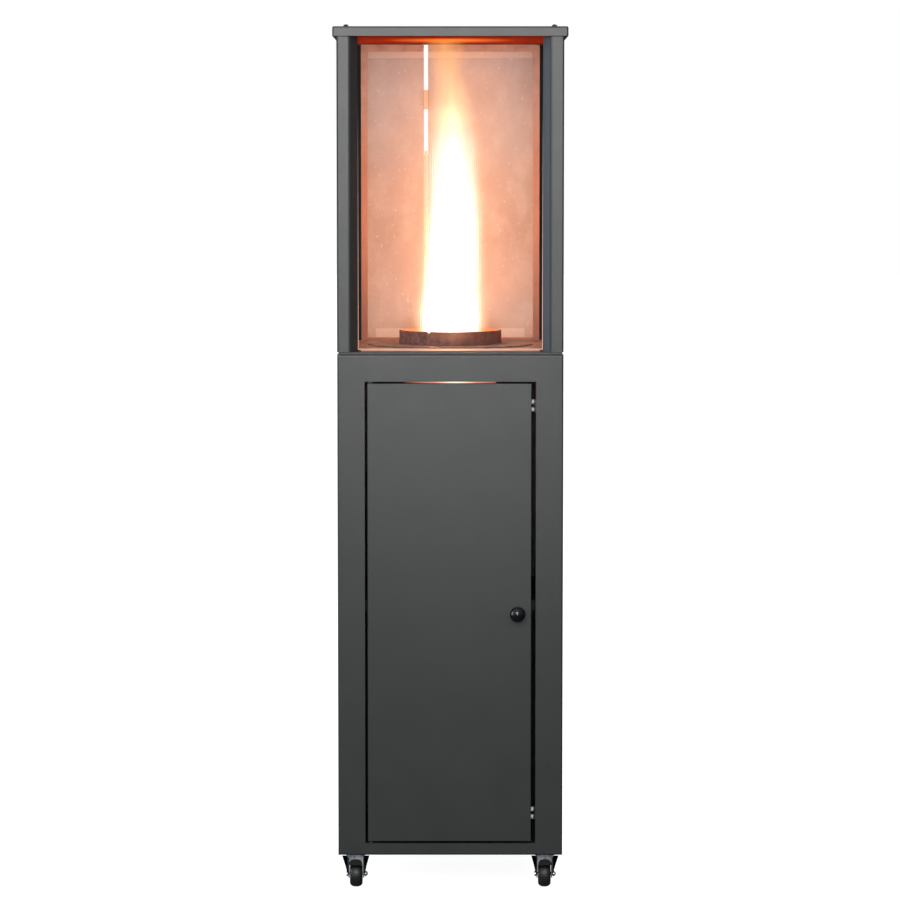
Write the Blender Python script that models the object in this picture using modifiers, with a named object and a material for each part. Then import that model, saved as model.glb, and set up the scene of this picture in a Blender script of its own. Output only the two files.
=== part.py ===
"""Outdoor heater: a sheet-metal cabinet on castors that carries a glazed flame chamber.

The front faces -Y. Every piece hangs from one empty at the middle of the tower, so all sizes below
are measured from the tower's own centre line and the floor.
"""

import math

import bmesh
import bpy
from mathutils import Matrix, Vector

# Tower
WIDTH = 0.430
HALF = WIDTH / 2
CENTRE_Y = 0.012
SHEET = 0.002
FIT = 0.0005
RUNNING = 0.0003
FOLD_RADIUS = 0.003

# Heights
BASE_Z = 0.071
CABINET_TOP = 1.033
POST_BASE = 1.038
CHAMBER_FLOOR = 1.042
CAP_BASE = 1.6345

# Cabinet
FRONT_RETURN = 0.020
SIDE_RETURN = 0.018
JAMB_DEPTH = 0.034
OPENING_HALF = 0.163
OPENING_LOW = 0.094
OPENING_HIGH = 0.982
VENT_FEET = (0.200, 0.780)
VENT_ROWS = 6
VENT_PITCH = 0.020
TRAY_Z = BASE_Z + 0.0045
TRAY_RIM = 0.012
PANEL_HALF = HALF - SHEET - FIT
PANEL_REAR = HALF - 2 * SHEET - 2 * FIT

# Door
DOOR_LEFT = -0.158
DOOR_RIGHT = 0.1545
DOOR_LOW = 0.098
DOOR_HIGH = 0.9785
DOOR_DEPTH = 0.015
HINGE_X = -0.152
HINGE_Y = -HALF + 0.006
PIN_RADIUS = 0.0025
PIN_HOLE = 0.0028
KNOB_X = 0.128
KNOB_Z = 0.539
KNOB_RADIUS = 0.015
KNOB_NECK = 0.006
KNOB_STUD = 0.0022
CATCH_HEIGHTS = {"upper": 0.9352, "lower": 0.1495}
ROLLER_RADIUS = 0.0045
ROLLER_OFFSET = 0.0073
ROLLER_END = 0.1465

# Posts and cap
POST_FACE = 0.025
POST_SPLAY = 0.0145
CAP_HALF = 0.2225
CAP_HEIGHT = 0.018
CAP_SCREW = 0.197
SCREW_SHANK = 0.0025
CAP_SLOTS = 8
CAP_SLOT_PITCH = 0.024
CAP_SLOT_HALF = 0.120
CEILING_SLOTS = 5
CEILING_SLOT_PITCH = 0.036
CEILING_SLOT_HALF = 0.090

# Glass
GLASS = 0.004
GLASS_CHAMFER = 0.0005
GLASS_HALF = 0.178
GLASS_FACE = 0.1965
REAR_GLASS_FACE = 0.1935
SLIT_LEFT = -0.0532
SLIT_RIGHT = -0.0444
FRAME_OUTER = 0.179
FRAME_INNER = 0.1665
FRAME_TOP = 1.620
FRAME_FOOT = 1.0470
CLIP_LOW = 1.505
CLIP_HIGH = 1.543

# Burner
POT_RADIUS = 0.090
POT_WALL = 0.003
POT_BOTTOM = 0.700
POT_LIP = 0.010
POT_RIM = 0.0955
FLANGE_RADIUS = 0.161
FLANGE_THICK = 0.002
RING_RADIUS = 0.100
RING_WALL = 0.003
RING_HEIGHT = 0.026
GRATE_THICK = 0.004
AIR_HOLES = 6
AIR_HOLE_RADIUS = 0.011
AIR_HOLE_RING = 0.045
SHUTTER_RADIUS = 0.076
SHUTTER_BOLT = 0.004
LEVER_REACH = 0.183

# Ash shelf and tray
SHELF_Z = 0.560
SHELF_FOLD = 0.020
ASH_HALF = 0.115
ASH_FRONT = -0.150
ASH_BACK = 0.130
ASH_HEIGHT = 0.070

# Castors
CASTOR_REACH = 0.182
CASTOR_TRAIL = 0.017
WHEEL_RADIUS = 0.025
WHEEL_HALF = 0.012
HUB_RADIUS = 0.0185
CASTOR_PLATE_HALF = 0.0275
CASTOR_PLATE_THICK = 0.0025
RACEWAY_RADIUS = 0.021
FORK_NOSE = 0.021
FORK_TAIL = 0.025
FORK_HALF = 0.0155
FLANGE_HALF = 0.0262
FORK_SHEET = 0.002
FORK_TOP = 0.068
AXLE_RADIUS = 0.003
CROWN_THICK = 0.0025

# Roundness of turned pieces
FINE = 48
ROUND = 32
SMALL = 16


# ---------------------------------------------------------------- materials


def material(name, colour, roughness, metallic):
    found = bpy.data.materials.get(name)
    if found:
        return found
    made = bpy.data.materials.new(name)
    made.use_nodes = True
    shader = made.node_tree.nodes["Principled BSDF"]
    shader.inputs["Base Color"].default_value = (*colour, 1.0)
    shader.inputs["Roughness"].default_value = roughness
    shader.inputs["Metallic"].default_value = metallic
    return made


def powder_coat():
    return material("powder_coat", (0.045, 0.046, 0.047), 0.5, 0.0)


def glass():
    made = material("glass", (0.95, 0.96, 0.96), 0.03, 0.0)
    made.node_tree.nodes["Principled BSDF"].inputs["Transmission Weight"].default_value = 0.9
    return made


def scorched_steel():
    return material("scorched_steel", (0.09, 0.05, 0.035), 0.75, 0.6)


def raw_steel():
    return material("raw_steel", (0.32, 0.31, 0.30), 0.45, 1.0)


def zinc():
    return material("zinc", (0.62, 0.66, 0.70), 0.3, 1.0)


def black_steel():
    return material("black_steel", (0.02, 0.02, 0.022), 0.4, 0.3)


def black_plastic():
    return material("black_plastic", (0.008, 0.008, 0.009), 0.12, 0.0)


def white_nylon():
    return material("white_nylon", (0.85, 0.85, 0.83), 0.4, 0.0)


def tyre_rubber():
    return material("tyre_rubber", (0.02, 0.02, 0.02), 0.7, 0.0)


# ---------------------------------------------------------------- modelling helpers


def collection(name):
    found = bpy.data.collections.get(name)
    if found:
        return found
    made = bpy.data.collections.new(name)
    bpy.context.scene.collection.children.link(made)
    return made


def axis_empty(name, location, parent=None):
    """An empty the pieces of one body hang from; it stands on the body's joint axis."""
    empty = bpy.data.objects.new(name, None)
    empty.location = location
    empty.parent = parent
    collection("outdoor_heater").objects.link(empty)
    return empty


def hang(obj, axis):
    """Parent a piece to an empty and keep where it stands."""
    offset = Vector((0, 0, 0))
    above = axis
    while above and above.parent:
        offset += above.location
        above = above.parent
    obj.parent = axis
    obj.location = obj.location - offset
    return obj


def mesh_object(name, bm, location=(0, 0, 0)):
    """Turn a bmesh drawn in tower sizes into an object standing at `location`."""
    bmesh.ops.translate(bm, vec=-Vector(location), verts=bm.verts)
    bmesh.ops.recalc_face_normals(bm, faces=bm.faces)
    mesh = bpy.data.meshes.new(name)
    bm.to_mesh(mesh)
    bm.free()
    obj = bpy.data.objects.new(name, mesh)
    obj.location = location
    obj.parent = bpy.data.objects["tower"]
    collection("outdoor_heater").objects.link(obj)
    return obj


def add_box(bm, low, high):
    low = Vector(low)
    high = Vector(high)
    size = high - low
    scale = Matrix.Diagonal((size.x, size.y, size.z, 1.0))
    bmesh.ops.create_cube(bm, size=1.0, matrix=Matrix.Translation((low + high) / 2) @ scale)


def add_rod(bm, start, end, radius, segments=SMALL):
    start = Vector(start)
    end = Vector(end)
    turn = (end - start).to_track_quat("Z", "Y").to_matrix().to_4x4()
    bmesh.ops.create_cone(
        bm,
        cap_ends=True,
        segments=segments,
        radius1=radius,
        radius2=radius,
        depth=(end - start).length,
        matrix=Matrix.Translation((start + end) / 2) @ turn,
    )


def box(name, low, high):
    bm = bmesh.new()
    add_box(bm, low, high)
    return mesh_object(name, bm, (Vector(low) + Vector(high)) / 2)


def boxes(name, corners):
    bm = bmesh.new()
    for low, high in corners:
        add_box(bm, low, high)
    return mesh_object(name, bm)


def rods(name, ends, radius, segments=SMALL):
    bm = bmesh.new()
    for start, end in ends:
        add_rod(bm, start, end, radius, segments)
    return mesh_object(name, bm)


def plate(name, outline, low, high):
    """A flat outline in X and Y, raised from `low` to `high`."""
    curve = bpy.data.curves.new(name, "CURVE")
    curve.dimensions = "2D"
    curve.fill_mode = "BOTH"
    curve.extrude = (high - low) / 2
    spline = curve.splines.new("POLY")
    spline.points.add(len(outline) - 1)
    for point, (x, y) in zip(spline.points, outline):
        point.co = (x, y, 0, 1)
    spline.use_cyclic_u = True
    drawn = bpy.data.objects.new(name + "_outline", curve)
    bpy.context.scene.collection.objects.link(drawn)
    shape = drawn.evaluated_get(bpy.context.evaluated_depsgraph_get())
    bm = bmesh.new()
    bm.from_mesh(bpy.data.meshes.new_from_object(shape))
    bpy.data.objects.remove(drawn)
    bmesh.ops.remove_doubles(bm, verts=bm.verts, dist=1e-6)
    bmesh.ops.translate(bm, vec=(0, 0, (low + high) / 2), verts=bm.verts)
    return mesh_object(name, bm, (0, 0, (low + high) / 2))


def turned(name, profile, location, axis="Z", steps=ROUND):
    """A profile of (radius, height) pairs, top to bottom, turned about its own upright axis."""
    bm = bmesh.new()
    corners = [bm.verts.new((radius, 0, height)) for radius, height in profile]
    for first, second in zip(corners, corners[1:]):
        bm.edges.new((first, second))
    if profile[0][0] > 0 and profile[-1][0] > 0:
        bm.edges.new((corners[-1], corners[0]))
    mesh = bpy.data.meshes.new(name)
    bm.to_mesh(mesh)
    bm.free()
    obj = bpy.data.objects.new(name, mesh)
    obj.location = location
    obj.parent = bpy.data.objects["tower"]
    obj.rotation_euler = {"Z": (0, 0, 0), "X": (0, math.pi / 2, 0), "-Y": (math.pi / 2, 0, 0)}[axis]
    collection("outdoor_heater").objects.link(obj)
    screw = obj.modifiers.new("turn", "SCREW")
    screw.axis = "Z"
    screw.angle = 2 * math.pi
    screw.steps = steps
    screw.render_steps = steps
    screw.use_merge_vertices = True
    screw.merge_threshold = 0.00005
    screw.use_smooth_shade = True
    return obj


def combine(obj, other, operation):
    step = obj.modifiers.new(operation.lower(), "BOOLEAN")
    step.operation = operation
    step.solver = "EXACT"
    step.object = other
    bpy.data.collections["outdoor_heater"].objects.unlink(other)
    collection("cutters").objects.link(other)
    other.hide_render = True
    other.display_type = "WIRE"


def cut(obj, *cutters):
    for cutter in cutters:
        combine(obj, cutter, "DIFFERENCE")


def join(obj, *others):
    for other in others:
        combine(obj, other, "UNION")


def round_edges(obj, width, keep, segments=3):
    """Bevel the edges whose middle, in tower sizes, passes the `keep` test."""
    mesh = obj.data
    weights = mesh.attributes.new("bevel_weight_edge", "FLOAT", "EDGE")
    for edge in mesh.edges:
        ends = [mesh.vertices[index].co for index in edge.vertices]
        middle = (ends[0] + ends[1]) / 2 + obj.location
        weights.data[edge.index].value = 1.0 if keep(middle) else 0.0
    bevel = obj.modifiers.new("round", "BEVEL")
    bevel.limit_method = "WEIGHT"
    bevel.width = width
    bevel.segments = segments


def soften(obj, width, segments=2):
    bevel = obj.modifiers.new("soften", "BEVEL")
    bevel.limit_method = "ANGLE"
    bevel.width = width
    bevel.segments = segments


def finish(obj, surface):
    obj.data.materials.append(surface)
    return obj


# ---------------------------------------------------------------- cabinet


def pin_ends(z):
    return [((HINGE_X, HINGE_Y, z - 2 * SHEET), (HINGE_X, HINGE_Y, z + 2 * SHEET))]


def front_frame():
    front = -HALF
    frame = box("front_frame", (-HALF, front, BASE_Z), (HALF, front + FRONT_RETURN, CABINET_TOP))
    round_edges(frame, FOLD_RADIUS, lambda middle: abs(middle.y - front) < FIT)
    inside = HALF - SHEET
    cut(frame, box(
        "frame_inside",
        (-inside, front + SHEET, BASE_Z - JAMB_DEPTH),
        (inside, front + JAMB_DEPTH, CABINET_TOP - SHEET),
    ))
    jamb = OPENING_HALF + SHEET
    join(frame, box(
        "frame_jambs",
        (-jamb, front + SHEET / 2, OPENING_LOW - SHEET),
        (jamb, front + JAMB_DEPTH, OPENING_HIGH + SHEET),
    ))
    cut(frame, box(
        "frame_opening",
        (-OPENING_HALF, front - JAMB_DEPTH, OPENING_LOW),
        (OPENING_HALF, front + 2 * JAMB_DEPTH, OPENING_HIGH),
    ))
    cut(frame, rods("frame_pin_holes", pin_ends(OPENING_HIGH) + pin_ends(OPENING_LOW), PIN_HOLE))
    return finish(frame, powder_coat())


def side_panel(name, side):
    def corner_pair(x_in, x_out, y_low, y_high, z_low, z_high):
        xs = sorted((side * x_in, side * x_out))
        return (xs[0], y_low, z_low), (xs[1], y_high, z_high)

    start = -HALF + FRONT_RETURN + FIT
    fold = HALF - SIDE_RETURN
    over = fold - SHEET
    panel = box(name, *corner_pair(fold, HALF, start, HALF, BASE_Z, CABINET_TOP))
    cut(panel, box(name + "_inside", *corner_pair(
        over, HALF - SHEET, start - SHEET, PANEL_REAR + FIT, BASE_Z - SHEET, CABINET_TOP - SHEET
    )))
    cut(panel, box(name + "_rebate", *corner_pair(
        over, HALF - SHEET, HALF - SHEET - FIT, HALF + SHEET, BASE_Z - SHEET, CABINET_TOP + SHEET
    )))
    return finish(panel, powder_coat())


def rear_panel():
    panel = box(
        "rear_panel", (-PANEL_HALF, HALF - SHEET, BASE_Z), (PANEL_HALF, HALF, CABINET_TOP)
    )
    slot_half = 0.070
    slot_height = 0.007
    slots = []
    for foot in VENT_FEET:
        for row in range(VENT_ROWS):
            z = foot + row * VENT_PITCH
            slots.append(((-slot_half, HALF - 2 * SHEET, z), (slot_half, HALF + SHEET, z + slot_height)))
    cut(panel, boxes("rear_vents", slots))
    return finish(panel, powder_coat())


def bottom_panel():
    tray = box(
        "bottom_panel",
        (-PANEL_HALF, -PANEL_HALF, TRAY_Z),
        (PANEL_HALF, PANEL_REAR, TRAY_Z + TRAY_RIM),
    )
    cut(tray, box(
        "bottom_panel_inside",
        (-PANEL_HALF + SHEET, -PANEL_HALF + SHEET, TRAY_Z + SHEET),
        (PANEL_HALF - SHEET, PANEL_REAR - SHEET, TRAY_Z + 2 * TRAY_RIM),
    ))
    slot_half = 0.060
    slot_width = 0.010
    slots = []
    for row in range(-2, 3):
        y = row * 3 * slot_width
        slots.append(((-slot_half, y, TRAY_Z - SHEET), (slot_half, y + slot_width, TRAY_Z + 2 * SHEET)))
    cut(tray, boxes("bottom_air_slots", slots))
    return finish(tray, powder_coat())


def chamber_floor():
    setback = 0.003
    foot = HALF - setback
    shelf = 0.2005
    shelf_wall = 0.012
    corner = 0.170
    floor = box("chamber_floor", (-foot, -foot, CABINET_TOP + FIT), (foot, foot, POST_BASE - FIT))
    outline = []
    for quarter in range(4):
        turn = Matrix.Rotation(quarter * math.pi / 2, 2)
        outline.append(turn @ Vector((shelf, -corner)))
        outline.append(turn @ Vector((shelf, corner)))
    join(floor, plate("chamber_floor_step", outline, POST_BASE - 2 * SHEET, CHAMBER_FLOOR))
    inside = shelf - shelf_wall
    cut(floor, box(
        "chamber_floor_inside",
        (-inside, -inside, CABINET_TOP - SHEET),
        (inside, inside, CHAMBER_FLOOR - SHEET),
    ))
    cut(floor, rods(
        "chamber_floor_hole",
        [((0, 0, CABINET_TOP), (0, 0, CHAMBER_FLOOR + SHEET))],
        POT_RADIUS + SHEET,
        FINE,
    ))
    return finish(floor, powder_coat())


def door_panel():
    front = -HALF
    door = box("door_panel", (DOOR_LEFT, front, DOOR_LOW), (DOOR_RIGHT, front + DOOR_DEPTH, DOOR_HIGH))
    round_edges(door, SHEET / 2, lambda middle: abs(middle.y - front) < FIT, 2)
    cut(door, box(
        "door_inside",
        (DOOR_LEFT + SHEET, front + SHEET, DOOR_LOW + SHEET),
        (DOOR_RIGHT - SHEET, front + 2 * DOOR_DEPTH, DOOR_HIGH - SHEET),
    ))
    cut(door, rods("door_pin_holes", pin_ends(DOOR_HIGH) + pin_ends(DOOR_LOW), PIN_HOLE))
    screw_ends = [((KNOB_X, front - SHEET, KNOB_Z), (KNOB_X, front + 2 * SHEET, KNOB_Z))]
    cut(door, rods("door_knob_hole", screw_ends, PIN_HOLE))
    return finish(door, powder_coat())


def door_knob():
    """A polished ball on a short neck, with a stud that goes through the door."""
    stem = 0.0036
    stud_reach = 0.0105
    rings = 12
    centre = stem + math.sqrt(KNOB_RADIUS**2 - KNOB_NECK**2)
    last = math.asin(KNOB_NECK / KNOB_RADIUS)
    profile = [(0.0, centre + KNOB_RADIUS)]
    for ring in range(1, rings + 1):
        angle = math.pi + (last - math.pi) * ring / rings
        profile.append((KNOB_RADIUS * math.sin(angle), centre - KNOB_RADIUS * math.cos(angle)))
    profile += [(KNOB_NECK, 0.0), (KNOB_STUD, 0.0), (KNOB_STUD, -stud_reach), (0.0, -stud_reach)]
    return finish(
        turned("door_knob", profile, (KNOB_X, -HALF - FIT, KNOB_Z), "-Y"), black_plastic()
    )


def pivot_pin(name, opening_z, up):
    """A pin through the jamb, with a washer in the gap and a spigot in the door."""
    washer = 0.006
    head = 0.0035
    gap = 0.0005
    thick = 0.0024
    reach = 0.010
    profile = [
        (0.0, 2 * SHEET + gap),
        (head, 2 * SHEET + gap),
        (head, SHEET + gap),
        (PIN_RADIUS, SHEET + gap),
        (PIN_RADIUS, -gap),
        (washer, -gap),
        (washer, -gap - thick),
        (PIN_RADIUS, -gap - thick),
        (PIN_RADIUS, -reach),
        (0.0, -reach),
    ]
    if not up:
        profile = [(radius, -height) for radius, height in reversed(profile)]
    return finish(turned(name, profile, (HINGE_X, HINGE_Y, opening_z), steps=SMALL), zinc())


def roller_catch(name, z):
    """A base plate on the right jamb that carries two rollers, one over the other."""
    wall = OPENING_HALF - FIT
    y_low = -HALF + DOOR_DEPTH + 0.0015
    base_depth = 0.016
    base_half = 0.0125
    plate_thick = 0.0018
    roller_y = y_low + ROLLER_RADIUS
    catch = box(
        name,
        (wall - plate_thick, y_low, z - base_half),
        (wall, y_low + base_depth, z + base_half),
    )
    for label, offset in (("low", -ROLLER_OFFSET), ("high", ROLLER_OFFSET)):
        ends = [((ROLLER_END, roller_y, z + offset), (wall - plate_thick / 2, roller_y, z + offset))]
        join(catch, rods(name + "_roller_" + label, ends, ROLLER_RADIUS))
    return finish(catch, white_nylon())


def strike(name, z):
    """A small plate on the door's folded edge, with a spear that snaps between the rollers."""
    wall = DOOR_RIGHT - SHEET - FIT
    plate_thick = 0.0025
    plate_half = 0.015
    spear_half = 0.0022
    front = -HALF + SHEET + FIT
    back = -HALF + DOOR_DEPTH - FIT
    tip = -0.1865
    base = box(name, (wall - plate_thick, front, z - plate_half), (wall, back, z + plate_half))
    spear = box(
        name + "_spear",
        (wall - 2 * plate_thick, front + SHEET, z - spear_half),
        (wall - plate_thick / 2, tip, z + spear_half),
    )
    round_edges(spear, spear_half / 2, lambda middle: abs(middle.y - tip) < FIT, 1)
    join(base, spear)
    return finish(base, zinc())


# ---------------------------------------------------------------- chamber


def folded_strip(name, path, low, high):
    """A sheet folded along `path` in plan, standing from `low` to `high`."""
    bm = bmesh.new()
    corners = [bm.verts.new((x, y, low)) for x, y in path]
    edges = [bm.edges.new(pair) for pair in zip(corners, corners[1:])]
    raised = bmesh.ops.extrude_edge_only(bm, edges=edges)["geom"]
    lifted = [item for item in raised if isinstance(item, bmesh.types.BMVert)]
    bmesh.ops.translate(bm, vec=(0, 0, high - low), verts=lifted)
    mesh = bpy.data.meshes.new(name)
    bm.to_mesh(mesh)
    bm.free()
    obj = bpy.data.objects.new(name, mesh)
    obj.parent = bpy.data.objects["tower"]
    collection("outdoor_heater").objects.link(obj)
    fold = obj.modifiers.new("fold", "BEVEL")
    fold.limit_method = "ANGLE"
    fold.width = FOLD_RADIUS
    fold.segments = 2
    skin = obj.modifiers.new("sheet", "SOLIDIFY")
    skin.thickness = SHEET
    skin.offset = -1.0
    skin.use_even_offset = True
    return obj


def corner_post(name, quarter):
    """A folded post: two outer faces, each with an inner edge splayed back towards the glass."""
    edge = HALF - POST_FACE
    inner_x = edge - POST_SPLAY
    inner_y = HALF - POST_SPLAY
    path = [(-inner_x, -inner_y), (-edge, -HALF), (-HALF, -HALF), (-HALF, -edge), (-inner_y, -inner_x)]
    top = CAP_BASE - FIT
    post = folded_strip(name, path, POST_BASE, top)
    skin = HALF - SHEET / 2
    tab_outline = [
        (-skin, -skin),
        (-edge, -skin),
        (-inner_x - SHEET, -inner_y - SHEET / 2),
        (-inner_y - SHEET / 2, -inner_x - SHEET),
        (-skin, -edge),
    ]
    tab = plate(name + "_tab", tab_outline, top - SHEET, top - FIT / 2)
    hole = rods(
        name + "_hole",
        [((-CAP_SCREW, -CAP_SCREW, top - 3 * SHEET), (-CAP_SCREW, -CAP_SCREW, top + SHEET))],
        PIN_HOLE,
    )
    join(post, tab)
    cut(post, hole)
    for piece in (post, tab, hole):
        piece.rotation_euler = (0, 0, quarter * math.pi / 2)
    return finish(post, powder_coat())


def screw_holes(name, low, high):
    ends = []
    for x in (-CAP_SCREW, CAP_SCREW):
        for y in (-CAP_SCREW, CAP_SCREW):
            ends.append(((x, y, low), (x, y, high)))
    return rods(name, ends, PIN_HOLE)


def smoke_slots(name, half_length, rows, pitch, low, high):
    slot = pitch / 2
    slots = []
    for row in range(rows):
        y = (row - (rows - 1) / 2) * pitch
        slots.append(((-half_length, y - slot / 2, low), (half_length, y + slot / 2, high)))
    return boxes(name, slots)


def top_cap():
    top = CAP_BASE + CAP_HEIGHT
    cap = box("top_cap", (-CAP_HALF, -CAP_HALF, CAP_BASE), (CAP_HALF, CAP_HALF, top))
    round_edges(cap, FOLD_RADIUS, lambda middle: middle.z > CAP_BASE + FIT)
    inside = CAP_HALF - SHEET
    cut(cap, box("cap_inside", (-inside, -inside, CAP_BASE - SHEET), (inside, inside, top - SHEET)))
    slot_span = (top - 2 * SHEET, top + SHEET)
    cut(cap, smoke_slots("cap_slots", CAP_SLOT_HALF, CAP_SLOTS, CAP_SLOT_PITCH, *slot_span))
    cut(cap, screw_holes("cap_screw_holes", top - 2 * SHEET, top + SHEET))
    return finish(cap, powder_coat())


def ceiling_plate():
    half = CAP_HALF - SHEET - FIT
    plate_top = CAP_BASE + SHEET
    ceiling = box("ceiling_plate", (-half, -half, CAP_BASE), (half, half, plate_top))
    slot_span = (CAP_BASE - SHEET, plate_top + SHEET)
    slots = smoke_slots("ceiling_slots", CEILING_SLOT_HALF, CEILING_SLOTS, CEILING_SLOT_PITCH, *slot_span)
    cut(ceiling, slots)
    cut(ceiling, screw_holes("ceiling_screw_holes", CAP_BASE - SHEET, plate_top + SHEET))
    return finish(ceiling, scorched_steel())


def cap_screw(name, x, y):
    head = 0.0056
    rise = 0.0042
    reach = CAP_HEIGHT + 2 * SHEET
    dome = [
        (0.0, rise),
        (head * 0.45, rise * 0.92),
        (head * 0.8, rise * 0.62),
        (head, rise * 0.1),
        (head, 0.0),
        (SCREW_SHANK, 0.0),
        (SCREW_SHANK, -reach),
        (0.0, -reach),
    ]
    seat = CAP_BASE + CAP_HEIGHT + FIT
    return finish(turned(name, dome, (x, y, seat), steps=SMALL), black_steel())


def pane(name, low, high):
    made = box(name, (*low, CHAMBER_FLOOR + FIT), (*high, CAP_BASE - 2 * FIT))
    soften(made, GLASS_CHAMFER, 1)
    return finish(made, glass())


def glass_frame(name, side, slit_edge):
    """A border in front of one rear pane, open towards the slit between the panes."""
    y_high = REAR_GLASS_FACE - GLASS - FIT
    y_low = y_high - SHEET
    xs = sorted((side * FRAME_OUTER, slit_edge))
    foot = CHAMBER_FLOOR + FIT
    border = box(name, (xs[0], y_low, foot), (xs[1], y_high, CAP_BASE - 2 * FIT))
    inner = sorted((side * FRAME_INNER, slit_edge - side * FRAME_OUTER))
    cut(border, box(
        name + "_window",
        (inner[0], y_low - SHEET, FRAME_FOOT),
        (inner[1], y_high + SHEET, FRAME_TOP),
    ))
    return finish(border, powder_coat())


def rear_glass_clip():
    """A strap behind the rear panes, with a web that fills a short length of the slit."""
    lap = 0.010
    back = REAR_GLASS_FACE + FIT
    clip = box(
        "rear_glass_clip",
        (SLIT_LEFT - lap, back, CLIP_LOW),
        (SLIT_RIGHT + lap, back + SHEET, CLIP_HIGH),
    )
    web = box(
        "rear_glass_clip_web",
        (SLIT_LEFT + RUNNING, REAR_GLASS_FACE - GLASS, CLIP_LOW),
        (SLIT_RIGHT - RUNNING, back + SHEET / 2, CLIP_HIGH),
    )
    join(clip, web)
    return finish(clip, raw_steel())


# ---------------------------------------------------------------- burner


def burner_ring():
    foot = CHAMBER_FLOOR + FIT + FLANGE_THICK + FIT
    inner = RING_RADIUS - RING_WALL
    profile = [
        (inner, RING_HEIGHT),
        (RING_RADIUS, RING_HEIGHT),
        (RING_RADIUS, 0.0),
        (inner, 0.0),
    ]
    return finish(turned("burner_ring", profile, (0, 0, foot), steps=FINE), scorched_steel())


def firepot_flange():
    """A broad disc on the chamber floor; the pot hangs in it and the ring stands on it."""
    seat = CHAMBER_FLOOR + FIT
    hole = POT_RADIUS + FIT
    profile = [
        (hole, FLANGE_THICK),
        (FLANGE_RADIUS, FLANGE_THICK),
        (FLANGE_RADIUS, 0.0),
        (hole, 0.0),
    ]
    return finish(turned("firepot_flange", profile, (0, 0, seat), steps=FINE), scorched_steel())


def firepot():
    """The pot the fuel burns in: a tube that hangs by a narrow rim, with a lip that holds the grate."""
    rim_seat = CHAMBER_FLOOR + FIT + FLANGE_THICK + FIT
    rim = rim_seat + FLANGE_THICK
    inner = POT_RADIUS - POT_WALL
    profile = [
        (inner, rim),
        (POT_RIM, rim),
        (POT_RIM, rim_seat),
        (POT_RADIUS, rim_seat),
        (POT_RADIUS, POT_BOTTOM),
        (inner - POT_LIP, POT_BOTTOM),
        (inner - POT_LIP, POT_BOTTOM + POT_WALL),
        (inner, POT_BOTTOM + POT_WALL),
    ]
    local = [(radius, height - POT_BOTTOM) for radius, height in profile]
    return finish(turned("firepot", local, (0, 0, POT_BOTTOM), steps=FINE), scorched_steel())


def sector_holes(name, low, high):
    """Round openings about the middle, shared by the grate and the air shutter."""
    ends = []
    for number in range(AIR_HOLES):
        angle = 2 * math.pi * (number + 0.5) / AIR_HOLES
        x = AIR_HOLE_RING * math.cos(angle)
        y = AIR_HOLE_RING * math.sin(angle)
        ends.append(((x, y, low), (x, y, high)))
    return rods(name, ends, AIR_HOLE_RADIUS)


def grate():
    low = POT_BOTTOM + POT_WALL + FIT
    high = low + GRATE_THICK
    disc = rods("grate", [((0, 0, low), (0, 0, high))], POT_RADIUS - POT_WALL - 2 * FIT, ROUND)
    cut(disc, sector_holes("grate_openings", low - SHEET, high + SHEET))
    bolt_way = [((0, 0, low - SHEET), (0, 0, high + SHEET))]
    cut(disc, rods("grate_bolt_hole", bolt_way, SHUTTER_BOLT + RUNNING))
    return finish(disc, scorched_steel())


def shutter_bolt():
    head = 0.009
    head_thick = 0.004
    nut_thick = 0.006
    chamfer = 0.001
    grate_top = POT_BOTTOM + POT_WALL + FIT + GRATE_THICK + FIT
    nut_top = POT_BOTTOM - 4 * FIT - SHEET
    profile = [
        (0.0, grate_top + head_thick),
        (head, grate_top + head_thick - chamfer),
        (head, grate_top),
        (SHUTTER_BOLT, grate_top),
        (SHUTTER_BOLT, nut_top),
        (head, nut_top),
        (head, nut_top - nut_thick + chamfer),
        (0.0, nut_top - nut_thick),
    ]
    local = [(radius, height - POT_BOTTOM) for radius, height in profile]
    return finish(turned("shutter_bolt", local, (0, 0, POT_BOTTOM), steps=SMALL), raw_steel())


def air_shutter(axis):
    """A disc that turns under the grate, with a lever that reaches to just behind the door."""
    high = POT_BOTTOM - 2 * FIT
    low = high - SHEET
    disc = rods("air_shutter", [((0, 0, low), (0, 0, high))], SHUTTER_RADIUS, ROUND)
    lever_half = 0.008
    lever_root = SHUTTER_RADIUS - 0.012
    tab_half = 0.011
    tab_height = 0.022
    join(disc, box(
        "air_shutter_lever",
        (-lever_half, -LEVER_REACH, low),
        (lever_half, -lever_root, high),
    ))
    join(disc, box(
        "air_shutter_tab",
        (-tab_half, -LEVER_REACH - SHEET / 2, low - tab_height),
        (tab_half, -LEVER_REACH + SHEET / 2, high),
    ))
    cut(disc, sector_holes("air_shutter_openings", low - SHEET, high + SHEET))
    bolt_way = [((0, 0, low - SHEET), (0, 0, high + SHEET))]
    cut(disc, rods("air_shutter_bolt_hole", bolt_way, SHUTTER_BOLT + RUNNING))
    return finish(hang(disc, axis), raw_steel())


# ---------------------------------------------------------------- ash shelf and tray


def ash_shelf():
    front = -HALF + JAMB_DEPTH + SHEET
    shelf = box(
        "ash_shelf", (-PANEL_HALF, front, SHELF_Z - SHELF_FOLD), (PANEL_HALF, PANEL_REAR, SHELF_Z)
    )
    cut(shelf, box(
        "ash_shelf_inside",
        (-PANEL_HALF + SHEET, front + SHEET, SHELF_Z - 2 * SHELF_FOLD),
        (PANEL_HALF - SHEET, PANEL_REAR - SHEET, SHELF_Z - SHEET),
    ))
    return finish(shelf, powder_coat())


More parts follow.
